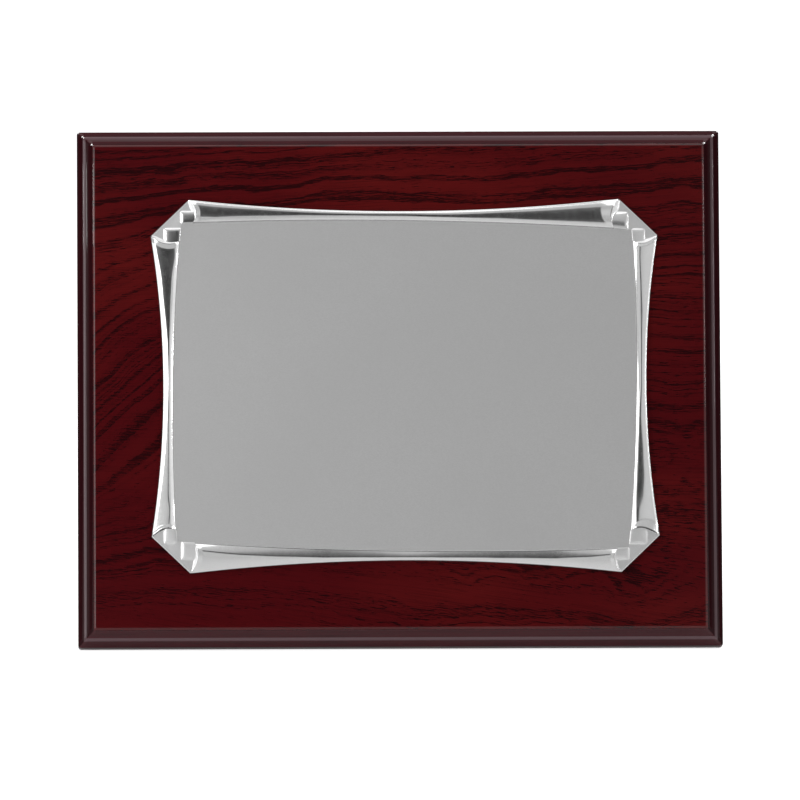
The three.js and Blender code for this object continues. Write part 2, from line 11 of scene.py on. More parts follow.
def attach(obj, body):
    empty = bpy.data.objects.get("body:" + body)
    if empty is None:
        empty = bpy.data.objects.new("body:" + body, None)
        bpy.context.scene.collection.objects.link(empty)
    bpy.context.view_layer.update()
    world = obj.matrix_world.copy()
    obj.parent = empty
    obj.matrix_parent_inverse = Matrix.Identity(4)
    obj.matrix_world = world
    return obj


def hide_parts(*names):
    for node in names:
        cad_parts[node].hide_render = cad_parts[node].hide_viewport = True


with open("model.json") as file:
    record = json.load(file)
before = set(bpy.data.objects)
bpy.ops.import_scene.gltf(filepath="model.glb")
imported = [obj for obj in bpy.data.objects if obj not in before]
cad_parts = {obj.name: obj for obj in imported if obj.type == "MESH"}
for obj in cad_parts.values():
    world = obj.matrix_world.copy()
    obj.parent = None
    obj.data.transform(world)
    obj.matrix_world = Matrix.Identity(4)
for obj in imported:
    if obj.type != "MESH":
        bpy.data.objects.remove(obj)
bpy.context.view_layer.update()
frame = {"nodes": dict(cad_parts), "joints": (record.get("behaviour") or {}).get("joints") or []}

MM = 0.001
DEG = math.pi / 180
LEAN, OPEN = 12 * DEG, 22 * DEG
PIN_Y, PIN_Z = 3.8, 131.0

# Axes of the leaning board, the open strut and the hanging ring, in metres.
joints = {j["name"]: j for j in frame["joints"]}
tilt = Matrix.Rotation(-LEAN, 4, "X")
pin = Vector(joints["strut_hinge"]["pos_m"])
BOARD = Matrix.Translation(pin - tilt @ Vector((0, PIN_Y * MM, PIN_Z * MM))) @ tilt
STRUT = Matrix.Translation(pin) @ Matrix.Rotation(OPEN - LEAN, 4, "X")
RING = Matrix.Translation(Vector(joints["ring_swing"]["pos_m"]))

BOARD_W, BOARD_H, BOARD_T = 250.0, 202.0, 15.0


# ------------------------------------------------------------------- meshes
def smoothstep(x):
    t = min(1.0, max(0.0, x))
    return t * t * (3 - 2 * t)


def mesh_object(name, verts, faces, matrix, angle=35.0):
    """Vertices are in millimetres, in the axes that matrix gives."""
    me = bpy.data.meshes.new(name)
    me.from_pydata([tuple(matrix @ (Vector(v) * MM)) for v in verts], [], faces)
    me.update()
    ob = bpy.data.objects.new(name, me)
    bpy.context.scene.collection.objects.link(ob)
    shade(ob, angle)
    return ob


def shade(ob, angle):
    ob.data.polygons.foreach_set("use_smooth", [True] * len(ob.data.polygons))
    if angle is not None:
        ob.data.set_sharp_from_angle(angle=angle * DEG)
    ob.data.update()


def bake_modifiers(ob, angle=35.0):
    bpy.context.view_layer.update()
    dg = bpy.context.evaluated_depsgraph_get()
    me = bpy.data.meshes.new_from_object(ob.evaluated_get(dg))
    old = ob.data
    ob.modifiers.clear()
    ob.data = me
    bpy.data.meshes.remove(old)
    shade(ob, angle)
    return ob


def bevelled(ob, width, segments=2, angle=35.0, shade_angle=35.0):
    m = ob.modifiers.new("bevel", "BEVEL")
    m.width, m.segments = width * MM, segments
    m.limit_method, m.angle_limit = "ANGLE", angle * DEG
    m.use_clamp_overlap = True
    return bake_modifiers(ob, shade_angle)


def outward(ob):
    bm = bmesh.new()
    bm.from_mesh(ob.data)
    bmesh.ops.recalc_face_normals(bm, faces=bm.faces)
    bm.to_mesh(ob.data)
    bm.free()
    return ob


def rounded_rect(x0, z0, x1, z1, r, n=8):
    pts = []
    for cx, cz, a0 in (
        (x1 - r, z0 + r, -90), (x1 - r, z1 - r, 0),
        (x0 + r, z1 - r, 90), (x0 + r, z0 + r, 180),
    ):
        for i in range(n + 1):
            a = (a0 + 90 * i / n) * DEG
            pts.append((cx + r * math.cos(a), cz + r * math.sin(a)))
    return pts


def loft(name, loops, matrix, angle=35.0, cap=True):
    """A closed body through outlines of equal count, front to back."""
    n = len(loops[0])
    verts = [p for loop in loops for p in loop]
    faces = []
    for k in range(len(loops) - 1):
        for i in range(n):
            j = (i + 1) % n
            a, b, c, d = k * n + i, k * n + j, (k + 1) * n + i, (k + 1) * n + j
            faces.append((a, c, d, b))
    if cap:
        faces.append(tuple(range(n)))
        faces.append(tuple(reversed(range((len(loops) - 1) * n, len(loops) * n))))
    return outward(mesh_object(name, verts, faces, matrix, angle))


def lathe(name, profile, matrix, segments=48, angle=35.0):
    """profile: (radius, height) from the axis to the axis; turned round local y."""
    verts, faces = [], []
    rings = []
    for r, h in profile:
        if r < 1e-6:
            rings.append([len(verts)])
            verts.append((0, h, 0))
        else:
            rings.append(list(range(len(verts), len(verts) + segments)))
            for i in range(segments):
                a = 2 * math.pi * i / segments
                verts.append((r * math.cos(a), h, r * math.sin(a)))
    for a, b in zip(rings, rings[1:]):
        for i in range(segments):
            j = (i + 1) % segments
            if len(a) == 1:
                faces.append((a[0], b[i], b[j]))
            elif len(b) == 1:
                faces.append((a[i], b[0], a[j]))
            else:
                faces.append((a[i], b[i], b[j], a[j]))
    return outward(mesh_object(name, verts, faces, matrix, angle))


def sheet_metal(name, path, thick, columns, matrix, skip=None, width_at=None, bevel=0.12):
    """A strip of thickness thick that follows path, [(y, z), ...], across the x
    stations in columns. skip(column, step) leaves a cell out; width_at(column,
    point) moves a station."""
    p = np.array(path, float)
    d = np.gradient(p, axis=0)
    d /= np.linalg.norm(d, axis=1)[:, None]
    normal = np.stack([-d[:, 1], d[:, 0]], axis=1)
    sides = (p + normal * thick / 2, p - normal * thick / 2)
    nc, ns = len(columns), len(p)
    verts, index = [], {}
    for s, side in enumerate(sides):
        for c in range(nc):
            for k in range(ns):
                x = columns[c] if width_at is None else width_at(c, k)
                index[(s, c, k)] = len(verts)
                verts.append((x, side[k][0], side[k][1]))
    present = {
        (c, k) for c in range(nc - 1) for k in range(ns - 1)
        if skip is None or not skip(c, k)
    }
    faces = []
    for c, k in present:
        q = [(c, k), (c + 1, k), (c + 1, k + 1), (c, k + 1)]
        faces.append([index[(0, *v)] for v in q])
        faces.append([index[(1, *v)] for v in reversed(q)])
        for (va, vb), nb in (
            ((q[0], q[1]), (c, k - 1)), ((q[1], q[2]), (c + 1, k)),
            ((q[2], q[3]), (c, k + 1)), ((q[3], q[0]), (c - 1, k)),
        ):
            if nb not in present:
                faces.append([index[(0, *vb)], index[(0, *va)], index[(1, *va)], index[(1, *vb)]])
    used = sorted({v for f in faces for v in f})
    remap = {v: i for i, v in enumerate(used)}
    ob = outward(mesh_object(
        name, [verts[v] for v in used], [[remap[v] for v in f] for f in faces], matrix, 35))
    return bevelled(ob, bevel, 2, 50)


def cut(ob, *cutters):
    for c in cutters:
        m = ob.modifiers.new("cut", "BOOLEAN")
        m.operation, m.object, m.solver = "DIFFERENCE", c, "EXACT"
    bake_modifiers(ob)
    for c in cutters:
        me = c.data
        bpy.data.objects.remove(c)
        bpy.data.meshes.remove(me)
    return ob


def arc(cy, cz, r, a0, a1, n):
    return [
        (cy + r * math.cos((a0 + (a1 - a0) * i / n) * DEG),
         cz + r * math.sin((a0 + (a1 - a0) * i / n) * DEG))
        for i in range(n + 1)
    ]


# ---------------------------------------------------------------- materials
class Nodes:
    """A short way to write a node tree."""

    def __init__(self, name, axes=None):
        self.axes = axes
        self.mat = bpy.data.materials.new(name)
        self.mat.use_nodes = True
        self.tree = self.mat.node_tree
        self.bsdf = next(n for n in self.tree.nodes if n.type == "BSDF_PRINCIPLED")

    def put(self, kind, values=None, links=None, **settings):
        n = self.tree.nodes.new(kind)
        for k, v in settings.items():
            setattr(n, k, v)
        for k, v in (values or {}).items():
            n.inputs[k].default_value = v
        for k, v in (links or {}).items():
            self.tree.links.new(v, n.inputs[k])
        return n

    def set(self, **values):
        for k, v in values.items():
            self.bsdf.inputs[k.replace("_", " ")].default_value = v

    def link(self, socket, target):
        self.tree.links.new(socket, self.bsdf.inputs[target])

    def value(self, x):
        return x

    def math(self, op, a, b=None, c=None, clamp=False):
        n = self.tree.nodes.new("ShaderNodeMath")
        n.operation, n.use_clamp = op, clamp
        for i, v in enumerate((a, b, c)):
            if v is None:
                continue
            if isinstance(v, (int, float)):
                n.inputs[i].default_value = v
            else:
                self.tree.links.new(v, n.inputs[i])
        return n.outputs[0]

    def coords(self):
        """Millimetres along the piece's own axes."""
        tc = self.put("ShaderNodeTexCoord")
        m = self.put("ShaderNodeMapping", {"Scale": (1000, 1000, 1000)})
        if self.axes is not None:
            back = self.axes.inverted()
            m.inputs["Rotation"].default_value = back.to_euler()
            m.inputs["Location"].default_value = back.translation * 1000
        self.tree.links.new(tc.outputs["Object"], m.inputs["Vector"])
        return m.outputs["Vector"]

    def noise(self, vector, scale=1.0, detail=2.0, rough=0.5, dims="3D", distortion=0.0):
        n = self.put("ShaderNodeTexNoise", {"Scale": scale, "Detail": detail, "Roughness": rough, "Distortion": distortion},
                     noise_dimensions=dims)
        self.tree.links.new(vector, n.inputs["W" if dims == "1D" else "Vector"])
        return n.outputs["Fac" if "Fac" in n.outputs else 0]

    def ramp(self, value, lo, hi, to_lo=0.0, to_hi=1.0, smooth=True):
        n = self.put("ShaderNodeMapRange", {1: lo, 2: hi, 3: to_lo, 4: to_hi},
                     interpolation_type="SMOOTHSTEP" if smooth else "LINEAR")
        self.tree.links.new(value, n.inputs[0])
        return n.outputs[0]

    def mix(self, fac, a, b):
        n = self.tree.nodes.new("ShaderNodeMix")
        n.data_type = "RGBA"
        f, ca, cb = n.inputs[0], n.inputs[6], n.inputs[7]
        for s, v in ((f, fac), (ca, a), (cb, b)):
            if isinstance(v, (int, float)):
                s.default_value = v
            elif isinstance(v, tuple):
                s.default_value = (*v, 1.0)
            else:
                self.tree.links.new(v, s)
        return n.outputs[2]

    def bump(self, height, distance, strength=1.0, target="Normal"):
        b = self.put("ShaderNodeBump", {"Strength": strength, "Distance": distance})
        self.tree.links.new(height, b.inputs["Height"])
        self.tree.links.new(b.outputs[0], self.bsdf.inputs[target])
        return b


def veneer_material():
    m = Nodes("mahogany_veneer", BOARD)
    p = m.coords()
    s = m.put("ShaderNodeSeparateXYZ", links={0: p})
    x, z = s.outputs[0], s.outputs[2]
    # Large soft warp of the growth lines.
    warp = m.math("MULTIPLY_ADD", m.noise(p, 0.016, 1.0), 22.0, -11.0)
    warp = m.math("ADD", warp, m.math("MULTIPLY_ADD", m.noise(p, 0.07, 2.0), 5.0, -2.5))
    u = m.math("ADD", x, 118.0)
    rise = m.math("SUBTRACT", 1.0, m.math("EXPONENT", m.math("MULTIPLY", u, -1 / 42)))
    fall = m.math("SUBTRACT", 1.0, m.math("EXPONENT", m.math("MULTIPLY", u, -1 / 170)))
    up = m.math("EXPONENT", m.math("MULTIPLY", m.math("POWER", m.math("MULTIPLY_ADD", z, 1 / 46, -98 / 46), 2.0), -1.0))
    down = m.math("EXPONENT", m.math("MULTIPLY", m.math("POWER", m.math("MULTIPLY_ADD", z, 1 / 36, -10 / 36), 2.0), -1.0))
    g = m.math("SUBTRACT", z, m.math("MULTIPLY", m.math("MULTIPLY", rise, up), 48.0))
    g = m.math("ADD", g, m.math("MULTIPLY", m.math("MULTIPLY", fall, down), 20.0))
    g = m.math("MULTIPLY_ADD", x, -0.045, g)
    g = m.math("ADD", g, warp)
    # How crowded the pores are, across the growth lines.
    bands = m.noise(m.math("MULTIPLY", g, 1 / 5.0), 1.0, 3.0, 0.66, "1D")
    crowd = m.ramp(bands, 0.36, 0.68)
    crowd = m.math("ADD", crowd, m.ramp(z, 150, 190, 0.0, 0.12))
    patches = m.noise(m.put("ShaderNodeMapping", {"Scale": (0.012, 0.02, 0.035)}, {"Vector": p}).outputs[0], 1.0, 2.0)
    crowd = m.math("MULTIPLY", crowd, m.ramp(patches, 0.30, 0.56, 0.5, 1.0))
    # Pores are thin dashes that follow the fibres: nearly level, rising a little
    # to the right above and falling below.
    slope = m.math("MULTIPLY_ADD", down, 0.15, m.ramp(z, 60, 190, 0.0, -0.055))
    zz = m.math("MULTIPLY_ADD", x, slope, m.math("MULTIPLY_ADD", warp, 0.10, z))
    c = m.put("ShaderNodeCombineXYZ")
    m.tree.links.new(x, c.inputs[0])
    m.tree.links.new(zz, c.inputs[2])

    def stretched(scale, shift, detail, rough):
        v = m.put("ShaderNodeMapping", {"Scale": scale, "Location": shift}, {"Vector": c.outputs[0]}).outputs[0]
        return m.noise(v, 1.0, detail, rough)

    long = stretched((0.085, 1.0, 2.2), (0, 0, 0), 3.0, 0.60)
    short = stretched((0.22, 1.0, 3.0), (31, 0, 7), 2.0, 0.5)
    hair = stretched((0.030, 1.0, 2.9), (3, 5, 60), 2.0, 0.6)
    dash = m.ramp(m.math("SUBTRACT", long, m.math("MULTIPLY_ADD", crowd, -0.21, 0.69)), -0.015, 0.055)
    fleck = m.ramp(m.math("SUBTRACT", short, m.math("MULTIPLY_ADD", crowd, -0.22, 0.69)), -0.01, 0.04)
    thread = m.ramp(m.math("SUBTRACT", hair, m.math("MULTIPLY_ADD", crowd, -0.06, 0.59)), 0.0, 0.06, 0.0, 0.6)
    dark = m.math("MAXIMUM", m.math("MAXIMUM", dash, fleck), thread)
    # The red between them: broad light and dark, and fine fibres.
    broad = m.noise(m.put("ShaderNodeMapping", {"Scale": (0.009, 0.02, 0.020), "Location": (5, 2, 1)}, {"Vector": p}).outputs[0], 1.0, 2.0)
    fibre = stretched((0.035, 1.0, 3.4), (9, 1, 2), 3.0, 0.6)
    red = m.mix(m.ramp(broad, 0.36, 0.64), (0.080, 0.0033, 0.0051), (0.116, 0.0070, 0.0069))
    red = m.mix(m.ramp(fibre, 0.3, 0.75, 0.0, 0.45), red, (0.042, 0.0020, 0.0034))
    red = m.mix(m.math("MULTIPLY", crowd, 0.24), red, (0.034, 0.0018, 0.0028))
    colour = m.mix(m.math("MULTIPLY", dark, 0.76), red, (0.0062, 0.0012, 0.0020))
    m.link(colour, "Base Color")
    m.set(Roughness=0.45, Coat_Weight=1.0, Coat_Roughness=0.035, Coat_IOR=1.5, Specular_IOR_Level=0.0)
    peel = m.noise(p, 0.09, 1.0)
    b = m.bump(peel, 0.00002, 0.35, "Coat Normal")
    m.bump(dark, 0.00004, 0.25)
    return m.mat


def edge_lacquer_material():
    m = Nodes("edge_lacquer", BOARD)
    p = m.coords()
    along = m.noise(m.put("ShaderNodeMapping", {"Scale": (0.03, 0.9, 0.9)}, {"Vector": p}).outputs[0], 1.0, 3.0, 0.6)
    blotch = m.noise(p, 0.05, 2.0)
    colour = m.mix(m.ramp(along, 0.35, 0.7), (0.058, 0.0066, 0.0110), (0.042, 0.0048, 0.0080))
    colour = m.mix(m.ramp(blotch, 0.35, 0.65, 0.0, 0.4), colour, (0.064, 0.0070, 0.0100))
    s = m.put("ShaderNodeSeparateXYZ", links={0: p})
    # The side mouldings are made darker than the top and bottom ones: stain soaks deeper into end grain, and this is
    # also painted shade for the weaker light that falls on the sides.
    in_x = m.math("SUBTRACT", BOARD_W / 2, m.math("ABSOLUTE", s.outputs[0]))
    in_z = m.math("SUBTRACT", BOARD_H / 2, m.math("ABSOLUTE", m.math("SUBTRACT", s.outputs[2], BOARD_H / 2)))
    end = m.ramp(m.math("SUBTRACT", in_z, in_x), -0.15, 0.15)
    # The fillet and the arris carry pale lines of colour: painted highlights along these convex beads. The coat is at
    # full weight on them, thinner in the coves.
    inset = m.math("MINIMUM", in_x, in_z)
    fillet_highlight = m.math("MULTIPLY", m.ramp(inset, 2.1, 2.4), m.ramp(inset, 3.3, 3.5, 1.0, 0.0))
    arris_highlight = m.ramp(inset, 5.9, 6.4, 0.0, 0.4)
    highlight_lines = m.math("MAXIMUM", fillet_highlight, arris_highlight)
    # Painted highlight: pale colour along the fillet and arris lines.
    colour = m.mix(highlight_lines, colour, (0.120, 0.062, 0.072))
    # Darker colour and a thinner coat on the side mouldings, where end is 1: end-grain stain and painted shade, less
    # over the highlight lines.
    colour = m.mix(m.math("MULTIPLY", end, m.math("MULTIPLY_ADD", highlight_lines, -0.45, 0.75)), colour, (0.014, 0.0016, 0.0026))
    cove_coat = m.math("MULTIPLY_ADD", end, -0.55, 0.80)
    coat = m.math("MAXIMUM", cove_coat, m.math("MAXIMUM", highlight_lines, m.ramp(inset, 0.05, 0.3, 1.0, 0.0)))
    specks = m.ramp(m.noise(p, 2.6, 1.0), 0.76, 0.80, 0.0, 0.35)
    colour = m.mix(specks, colour, (0.16, 0.10, 0.10))
    m.link(colour, "Base Color")
    m.set(Roughness=0.45, Coat_IOR=1.5, Specular_IOR_Level=0.0)
    m.link(coat, "Coat Weight")
    m.link(m.ramp(blotch, 0.3, 0.7, 0.05, 0.10), "Coat Roughness")
    m.bump(m.noise(p, 0.35, 2.0), 0.00004, 0.4, "Coat Normal")
    return m.mat


def satin_material(name, rough, tone):
    m = Nodes(name, BOARD)
    p = m.coords()
    grain = m.noise(m.put("ShaderNodeMapping", {"Scale": (1.5, 1.5, 3.6)}, {"Vector": p}).outputs[0], 1.0, 3.0, 0.6)
    soft = m.noise(p, 0.02, 2.0)
    colour = m.mix(m.ramp(grain, 0.3, 0.7), (tone - 0.025,) * 3, (tone + 0.025,) * 3)
    colour = m.mix(m.ramp(soft, 0.3, 0.7, 0.0, 0.35), colour, (tone - 0.03,) * 3)
    m.link(colour, "Base Color")
    m.set(Metallic=1.0)
    m.link(m.ramp(grain, 0.25, 0.75, rough - 0.03, rough + 0.03), "Roughness")
    m.bump(grain, 0.00003, 0.35)
    return m.mat


def polished_material():
    m = Nodes("plate_polished", BOARD)
    p = m.coords()
    wipe = m.noise(m.put("ShaderNodeMapping", {"Scale": (0.6, 0.6, 0.6)}, {"Vector": p}).outputs[0], 1.0, 3.0, 0.6)
    colour = m.mix(m.ramp(wipe, 0.3, 0.7), (0.82, 0.82, 0.82), (0.85, 0.85, 0.85))
    m.link(colour, "Base Color")
    m.set(Metallic=1.0)
    m.link(m.ramp(wipe, 0.3, 0.75, 0.14, 0.175), "Roughness")
    m.bump(m.noise(p, 0.35, 2.0), 0.00003, 0.1)
    return m.mat


def velvet_material():
    m = Nodes("black_velvet")
    p = m.coords()
    pile = m.noise(p, 2.2, 3.0, 0.7)
    nap = m.noise(m.put("ShaderNodeMapping", {"Scale": (0.030, 0.05, 0.016), "Rotation": (0, 0.5, 0)}, {"Vector": p}).outputs[0], 1.0, 3.0, 0.55, distortion=0.6)
    rub = m.noise(m.put("ShaderNodeMapping", {"Scale": (0.10, 0.2, 0.03), "Rotation": (0, -0.3, 0)}, {"Vector": p}).outputs[0], 1.0, 2.0)
    colour = m.mix(m.ramp(pile, 0.3, 0.7), (0.009, 0.0085, 0.0105), (0.034, 0.032, 0.037))
    colour = m.mix(m.ramp(nap, 0.40, 0.64, 0.0, 0.5), colour, (0.042, 0.040, 0.047))
    colour = m.mix(m.ramp(rub, 0.55, 0.75, 0.0, 0.22), colour, (0.050, 0.048, 0.056))
    m.link(colour, "Base Color")
    m.set(Roughness=0.95, Specular_IOR_Level=0.1, Sheen_Weight=0.5, Sheen_Roughness=0.4)
    m.bsdf.inputs["Sheen Tint"].default_value = (0.60, 0.59, 0.66, 1)
    m.bump(pile, 0.0004, 0.9)
    return m.mat


def nickel_material(name, tone, rough):
    m = Nodes(name)
    p = m.coords()
    brush = m.noise(m.put("ShaderNodeMapping", {"Scale": (0.25, 4.0, 4.0)}, {"Vector": p}).outputs[0], 1.0, 3.0, 0.6)
    stain = m.noise(p, 0.22, 3.0, 0.6)
    dull = tuple(c * 0.72 for c in tone)
    colour = m.mix(m.ramp(stain, 0.45, 0.72, 0.0, 0.55), tone, dull)
    m.link(colour, "Base Color")
    m.set(Metallic=1.0)
    m.link(m.math("ADD", m.ramp(brush, 0.25, 0.75, rough - 0.05, rough + 0.07), m.ramp(stain, 0.45, 0.7, 0.0, 0.12)), "Roughness")
    m.bump(brush, 0.00003, 0.4)
    return m.mat


def hardboard_material():
    m = Nodes("strut_hardboard", STRUT)
    p = m.coords()
    fibre = m.noise(m.put("ShaderNodeMapping", {"Scale": (1.6, 4.5, 1.6)}, {"Vector": p}).outputs[0], 1.0, 4.0, 0.7)
    layers = m.noise(m.put("ShaderNodeMapping", {"Scale": (0.05, 3.0, 0.05)}, {"Vector": p}).outputs[0], 1.0, 2.0)
    colour = m.mix(m.ramp(fibre, 0.25, 0.75), (0.040, 0.022, 0.012), (0.115, 0.066, 0.036))
    colour = m.mix(m.ramp(layers, 0.4, 0.6, 0.0, 0.5), colour, (0.055, 0.030, 0.017))
    m.link(colour, "Base Color")
    m.link(m.ramp(fibre, 0.3, 0.7, 0.72, 0.9), "Roughness")
    m.bump(fibre, 0.00008, 0.6)
    return m.mat


def foam_material():
    m = Nodes("foam_tape")
    p = m.coords()
    v = m.put("ShaderNodeTexVoronoi", {"Scale": 2.4}, {"Vector": p})
    cell = v.outputs["Distance"]
    colour = m.mix(m.ramp(cell, 0.0, 0.6), (0.86, 0.85, 0.80), (0.68, 0.66, 0.60))
    m.link(colour, "Base Color")
    m.link(m.ramp(cell, 0.0, 0.6, 0.75, 0.92), "Roughness")
    m.bump(cell, 0.0001, 0.5)
    return m.mat


MAT = {
    "veneer": veneer_material(),
    "edge": edge_lacquer_material(),
    "satin": satin_material("plate_satin", 0.47, 0.65),
    "corner": satin_material("plate_corner", 0.40, 0.84),
    "polished": polished_material(),
    # A dark satin for the walls in the rolls' open mouths: painted shade for the shadow there.
    "mouth": satin_material("plate_mouth_painted_shade", 0.5, 0.12),
    "velvet": velvet_material(),
    "nickel": nickel_material("nickel_plate", (0.74, 0.71, 0.66), 0.24),
    "steel": nickel_material("zinc_screw", (0.66, 0.66, 0.65), 0.30),
    "hardboard": hardboard_material(),
    "foam": foam_material(),
}


def dress(ob, material, body, slot, *replaced):
    for m in (material if isinstance(material, (list, tuple)) else [material]):
        ob.data.materials.append(m)
    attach(ob, body)
    if replaced:
        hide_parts(*replaced)
    return ob


# -------------------------------------------------------------------- board
ARRIS = (1.1, 0.9)
PANEL_INSET = 7.1
VENEER_T = 0.6


def board_loop(inset, depth, n=8):
    r = max(0.5, 1.1 - 0.08 * inset) + 1.1 * math.exp(-((depth - 2.6) / 1.5) ** 2) + 1.0 * math.exp(-((depth - 5.9) / 1.2) ** 2)
    return [
        (x, -BOARD_T + depth, z)
        for x, z in rounded_rect(
            -BOARD_W / 2 + inset, inset, BOARD_W / 2 - inset, BOARD_H - inset, r, n)
    ]


def arris_inset(depth):
    u = (ARRIS[1] - depth) / ARRIS[1]
    return PANEL_INSET - ARRIS[0] * math.sqrt(max(0.0, 1 - u * u))


def cove(a, b, sag, n):
    """Points from a to b, hollowed by sag."""
    (x0, y0), (x1, y1) = a, b
    length = math.hypot(x1 - x0, y1 - y0)
    nx, ny = (y1 - y0) / length, -(x1 - x0) / length
    return [
        (x0 + (x1 - x0) * k / n + nx * sag * 4 * (k / n) * (1 - k / n),
         y0 + (y1 - y0) * k / n + ny * sag * 4 * (k / n) * (1 - k / n))
        for k in range(n + 1)
    ]


def board_profile():
    pts = [(arris_inset(d), d) for d in (VENEER_T + 0.03, 0.7, 0.8)]
    pts += cove((6.0, 0.9), (3.55, 3.82), 0.2, 10)
    pts += [(3.42, 3.9), (3.25, 3.94), (3.05, 3.97), (2.8, 4.02), (2.58, 4.12), (2.42, 4.24), (2.3, 4.38)]
    pts += cove((2.2, 4.55), (0.34, 7.1), 0.13, 10)
    pts += [(0.24, 7.24), (0.15, 7.42), (0.08, 7.62), (0.03, 7.86), (0, 8.1), (0, 11.0), (0, 14.0),
            (0.05, 14.25), (0.1, 14.46), (0.22, 14.65), (0.38, 14.8), (0.6, 14.92), (0.8, 14.98), (1.0, 15.0)]
    return pts


edge = loft("board_edge", [board_loop(i, d) for i, d in board_profile()], BOARD, 28)
dress(edge, MAT["edge"], "board", "edge_lacquer", "board_core")

face = loft(
    "board_face",
    [board_loop(arris_inset(d), d) for d in (0, 0.012, 0.045, 0.1, 0.18, 0.28, 0.4, 0.52, VENEER_T)],
    BOARD, 60)
dress(face, MAT["veneer"], "board", "mahogany_veneer", "face_veneer")

velvet_back = loft(
    "velvet_lining",
    [[(x, y, z) for x, z in rounded_rect(-121.5 + i, 3.5 + i, 121.5 - i, 198.5 - i, 3, 8)]
     for i, y in ((0, 0.03), (0, 0.35), (0.08, 0.5), (0.22, 0.6), (0.45, 0.63))],
    BOARD, 60)
dress(velvet_back, MAT["velvet"], "board", "black_velvet", "back_velvet")

# ------------------------------------------------------------- scroll plate
PLATE_X, PLATE_Z, PLATE_W, PLATE_H = 2.0, 101.0, 197.0, 146.2
TIP_P, TIP_Q, SAG = 83.6, 58.8, 4.7
FIELD_W, FIELD_H, FIELD_TURN, FIELD_BOW = 174.8, 124.2, 0.95 * DEG, 2.2
END_NARROW, END_WIDE = 4.2, 6.7
SHEET_T, FIELD_Z, RIM_Z, END_ARC = 0.8, 1.9, 0.95, 2.0
WALL, LIP = 0.45, 0.42

# Each roll, from its narrow start (t -1) to its wide end (t 1): how far in from
# the outer edge the outer strip, the outward face and the crown end (mm), and
# how steeply the strip and the face rise (degrees).
ROLLS = [
    {  # top
        "strip": [(-1, 2.0), (-0.89, 1.95), (-0.71, 1.6), (-0.24, 1.4), (0, 1.25), (0.22, 1.75), (0.46, 1.8), (0.69, 2.2), (0.83, 2.4), (1, 3.0)],
        "face": [(-1, 2.0), (-0.89, 1.95), (-0.71, 1.6), (-0.24, 1.4), (0, 1.25), (0.22, 1.75), (0.46, 1.8), (0.69, 2.2), (0.83, 2.4), (1, 3.0)],
        "crown": [(-1, 6.6), (-0.89, 6.15), (-0.82, 5.2), (-0.71, 4.2), (-0.47, 2.7), (-0.24, 2.1), (0, 2.1), (0.22, 2.95), (0.46, 4.15), (0.69, 6.3), (0.83, 7.8), (1, 9.9)],
        "edge": [(-1, 1.9), (0, 2.15), (1, 1.85)], "rise": [(-1, 19), (0, 23), (1, 18)], "tilt": [(-1, 0), (1, 0)], "flare": (1.5, 4.6), "mouth": (0.62, 0.75),
    },
    {  # right
        "strip": [(-1, 1.0), (1, 1.05)],
        "face": [(-1, 7.0), (-0.9, 6.3), (-0.7, 4.3), (-0.5, 2.8), (-0.24, 2.1), (0, 1.95), (0.22, 2.6), (0.42, 2.5), (0.62, 3.1), (0.75, 4.5), (0.85, 6.8), (1, 8.6)],
        "crown": [(-1, 7.0), (-0.9, 6.3), (-0.7, 4.4), (-0.5, 2.9), (-0.24, 2.15), (0, 2.0), (0.22, 3.3), (0.42, 4.3), (0.62, 5.8), (0.75, 7.1), (0.85, 8.0), (1, 9.2)],
        "edge": [(-1, 1.42), (0, 1.95), (0.6, 1.7), (1, 1.35)], "rise": [(-1, 33), (1, 33)], "tilt": [(-1, 9), (1, 9.5)], "flare": (1.2, 3.5), "mouth": (0.62, 2.6),
    },
    {  # bottom
        "strip": [(-1, 0.9), (1, 0.9)],
        "face": [(-1, 7.0), (-0.87, 4.9), (-0.69, 3.0), (-0.45, 1.9), (-0.18, 1.3), (0, 1.3), (0.15, 1.4), (0.38, 2.0), (0.61, 3.6), (0.78, 5.4), (0.87, 6.8), (1, 9.0)],
        "crown": [(-1, 7.1), (-0.87, 5.0), (-0.69, 3.05), (-0.45, 1.95), (-0.18, 1.35), (0, 1.35), (0.15, 1.45), (0.38, 2.05), (0.61, 3.7), (0.78, 5.5), (0.87, 6.9), (1, 9.1)],
        "edge": [(-1, 1.3), (0, 1.95), (1, 1.3)], "rise": [(-1, 22), (1, 22)], "tilt": [(-1, 10), (0, 13), (1, 10)], "flare": (1.4, 1.6), "mouth": (0.8, 0.62),
    },
    {  # left
        "strip": [(-1, 0.9), (-0.85, 1.05), (-0.55, 1.55), (-0.29, 1.75), (0, 2.1), (0.31, 2.2), (0.57, 1.83), (0.74, 2.0), (0.9, 1.6), (1, 1.6)],
        "face": [(-1, 7.0), (-0.85, 6.2), (-0.75, 4.7), (-0.55, 3.5), (-0.29, 2.6), (0, 2.2), (0.31, 2.25), (0.57, 1.9), (0.74, 2.05), (0.9, 1.65), (1, 1.65)],
        "crown": [(-1, 7.0), (-0.85, 6.2), (-0.75, 4.7), (-0.55, 3.5), (-0.29, 2.6), (0, 2.25), (0.31, 3.0), (0.57, 4.6), (0.74, 6.25), (0.84, 7.9), (0.9, 8.95), (1, 9.6)],
        "edge": [(-1, 1.8), (0, 1.95), (1, 1.9)], "rise": [(-1, 33), (0, 30), (1, 34)], "tilt": [(-1, 9), (-0.3, 9), (0.1, 0), (1, 0)], "flare": (1.3, 1.9), "mouth": (2.6, 0.9),
    },
]


def along(table, t):
    for (a, u), (b, v) in zip(table, table[1:]):
        if t <= b:
            return u + (v - u) * min(1.0, max(0.0, (t - a) / (b - a)))
    return table[-1][1]


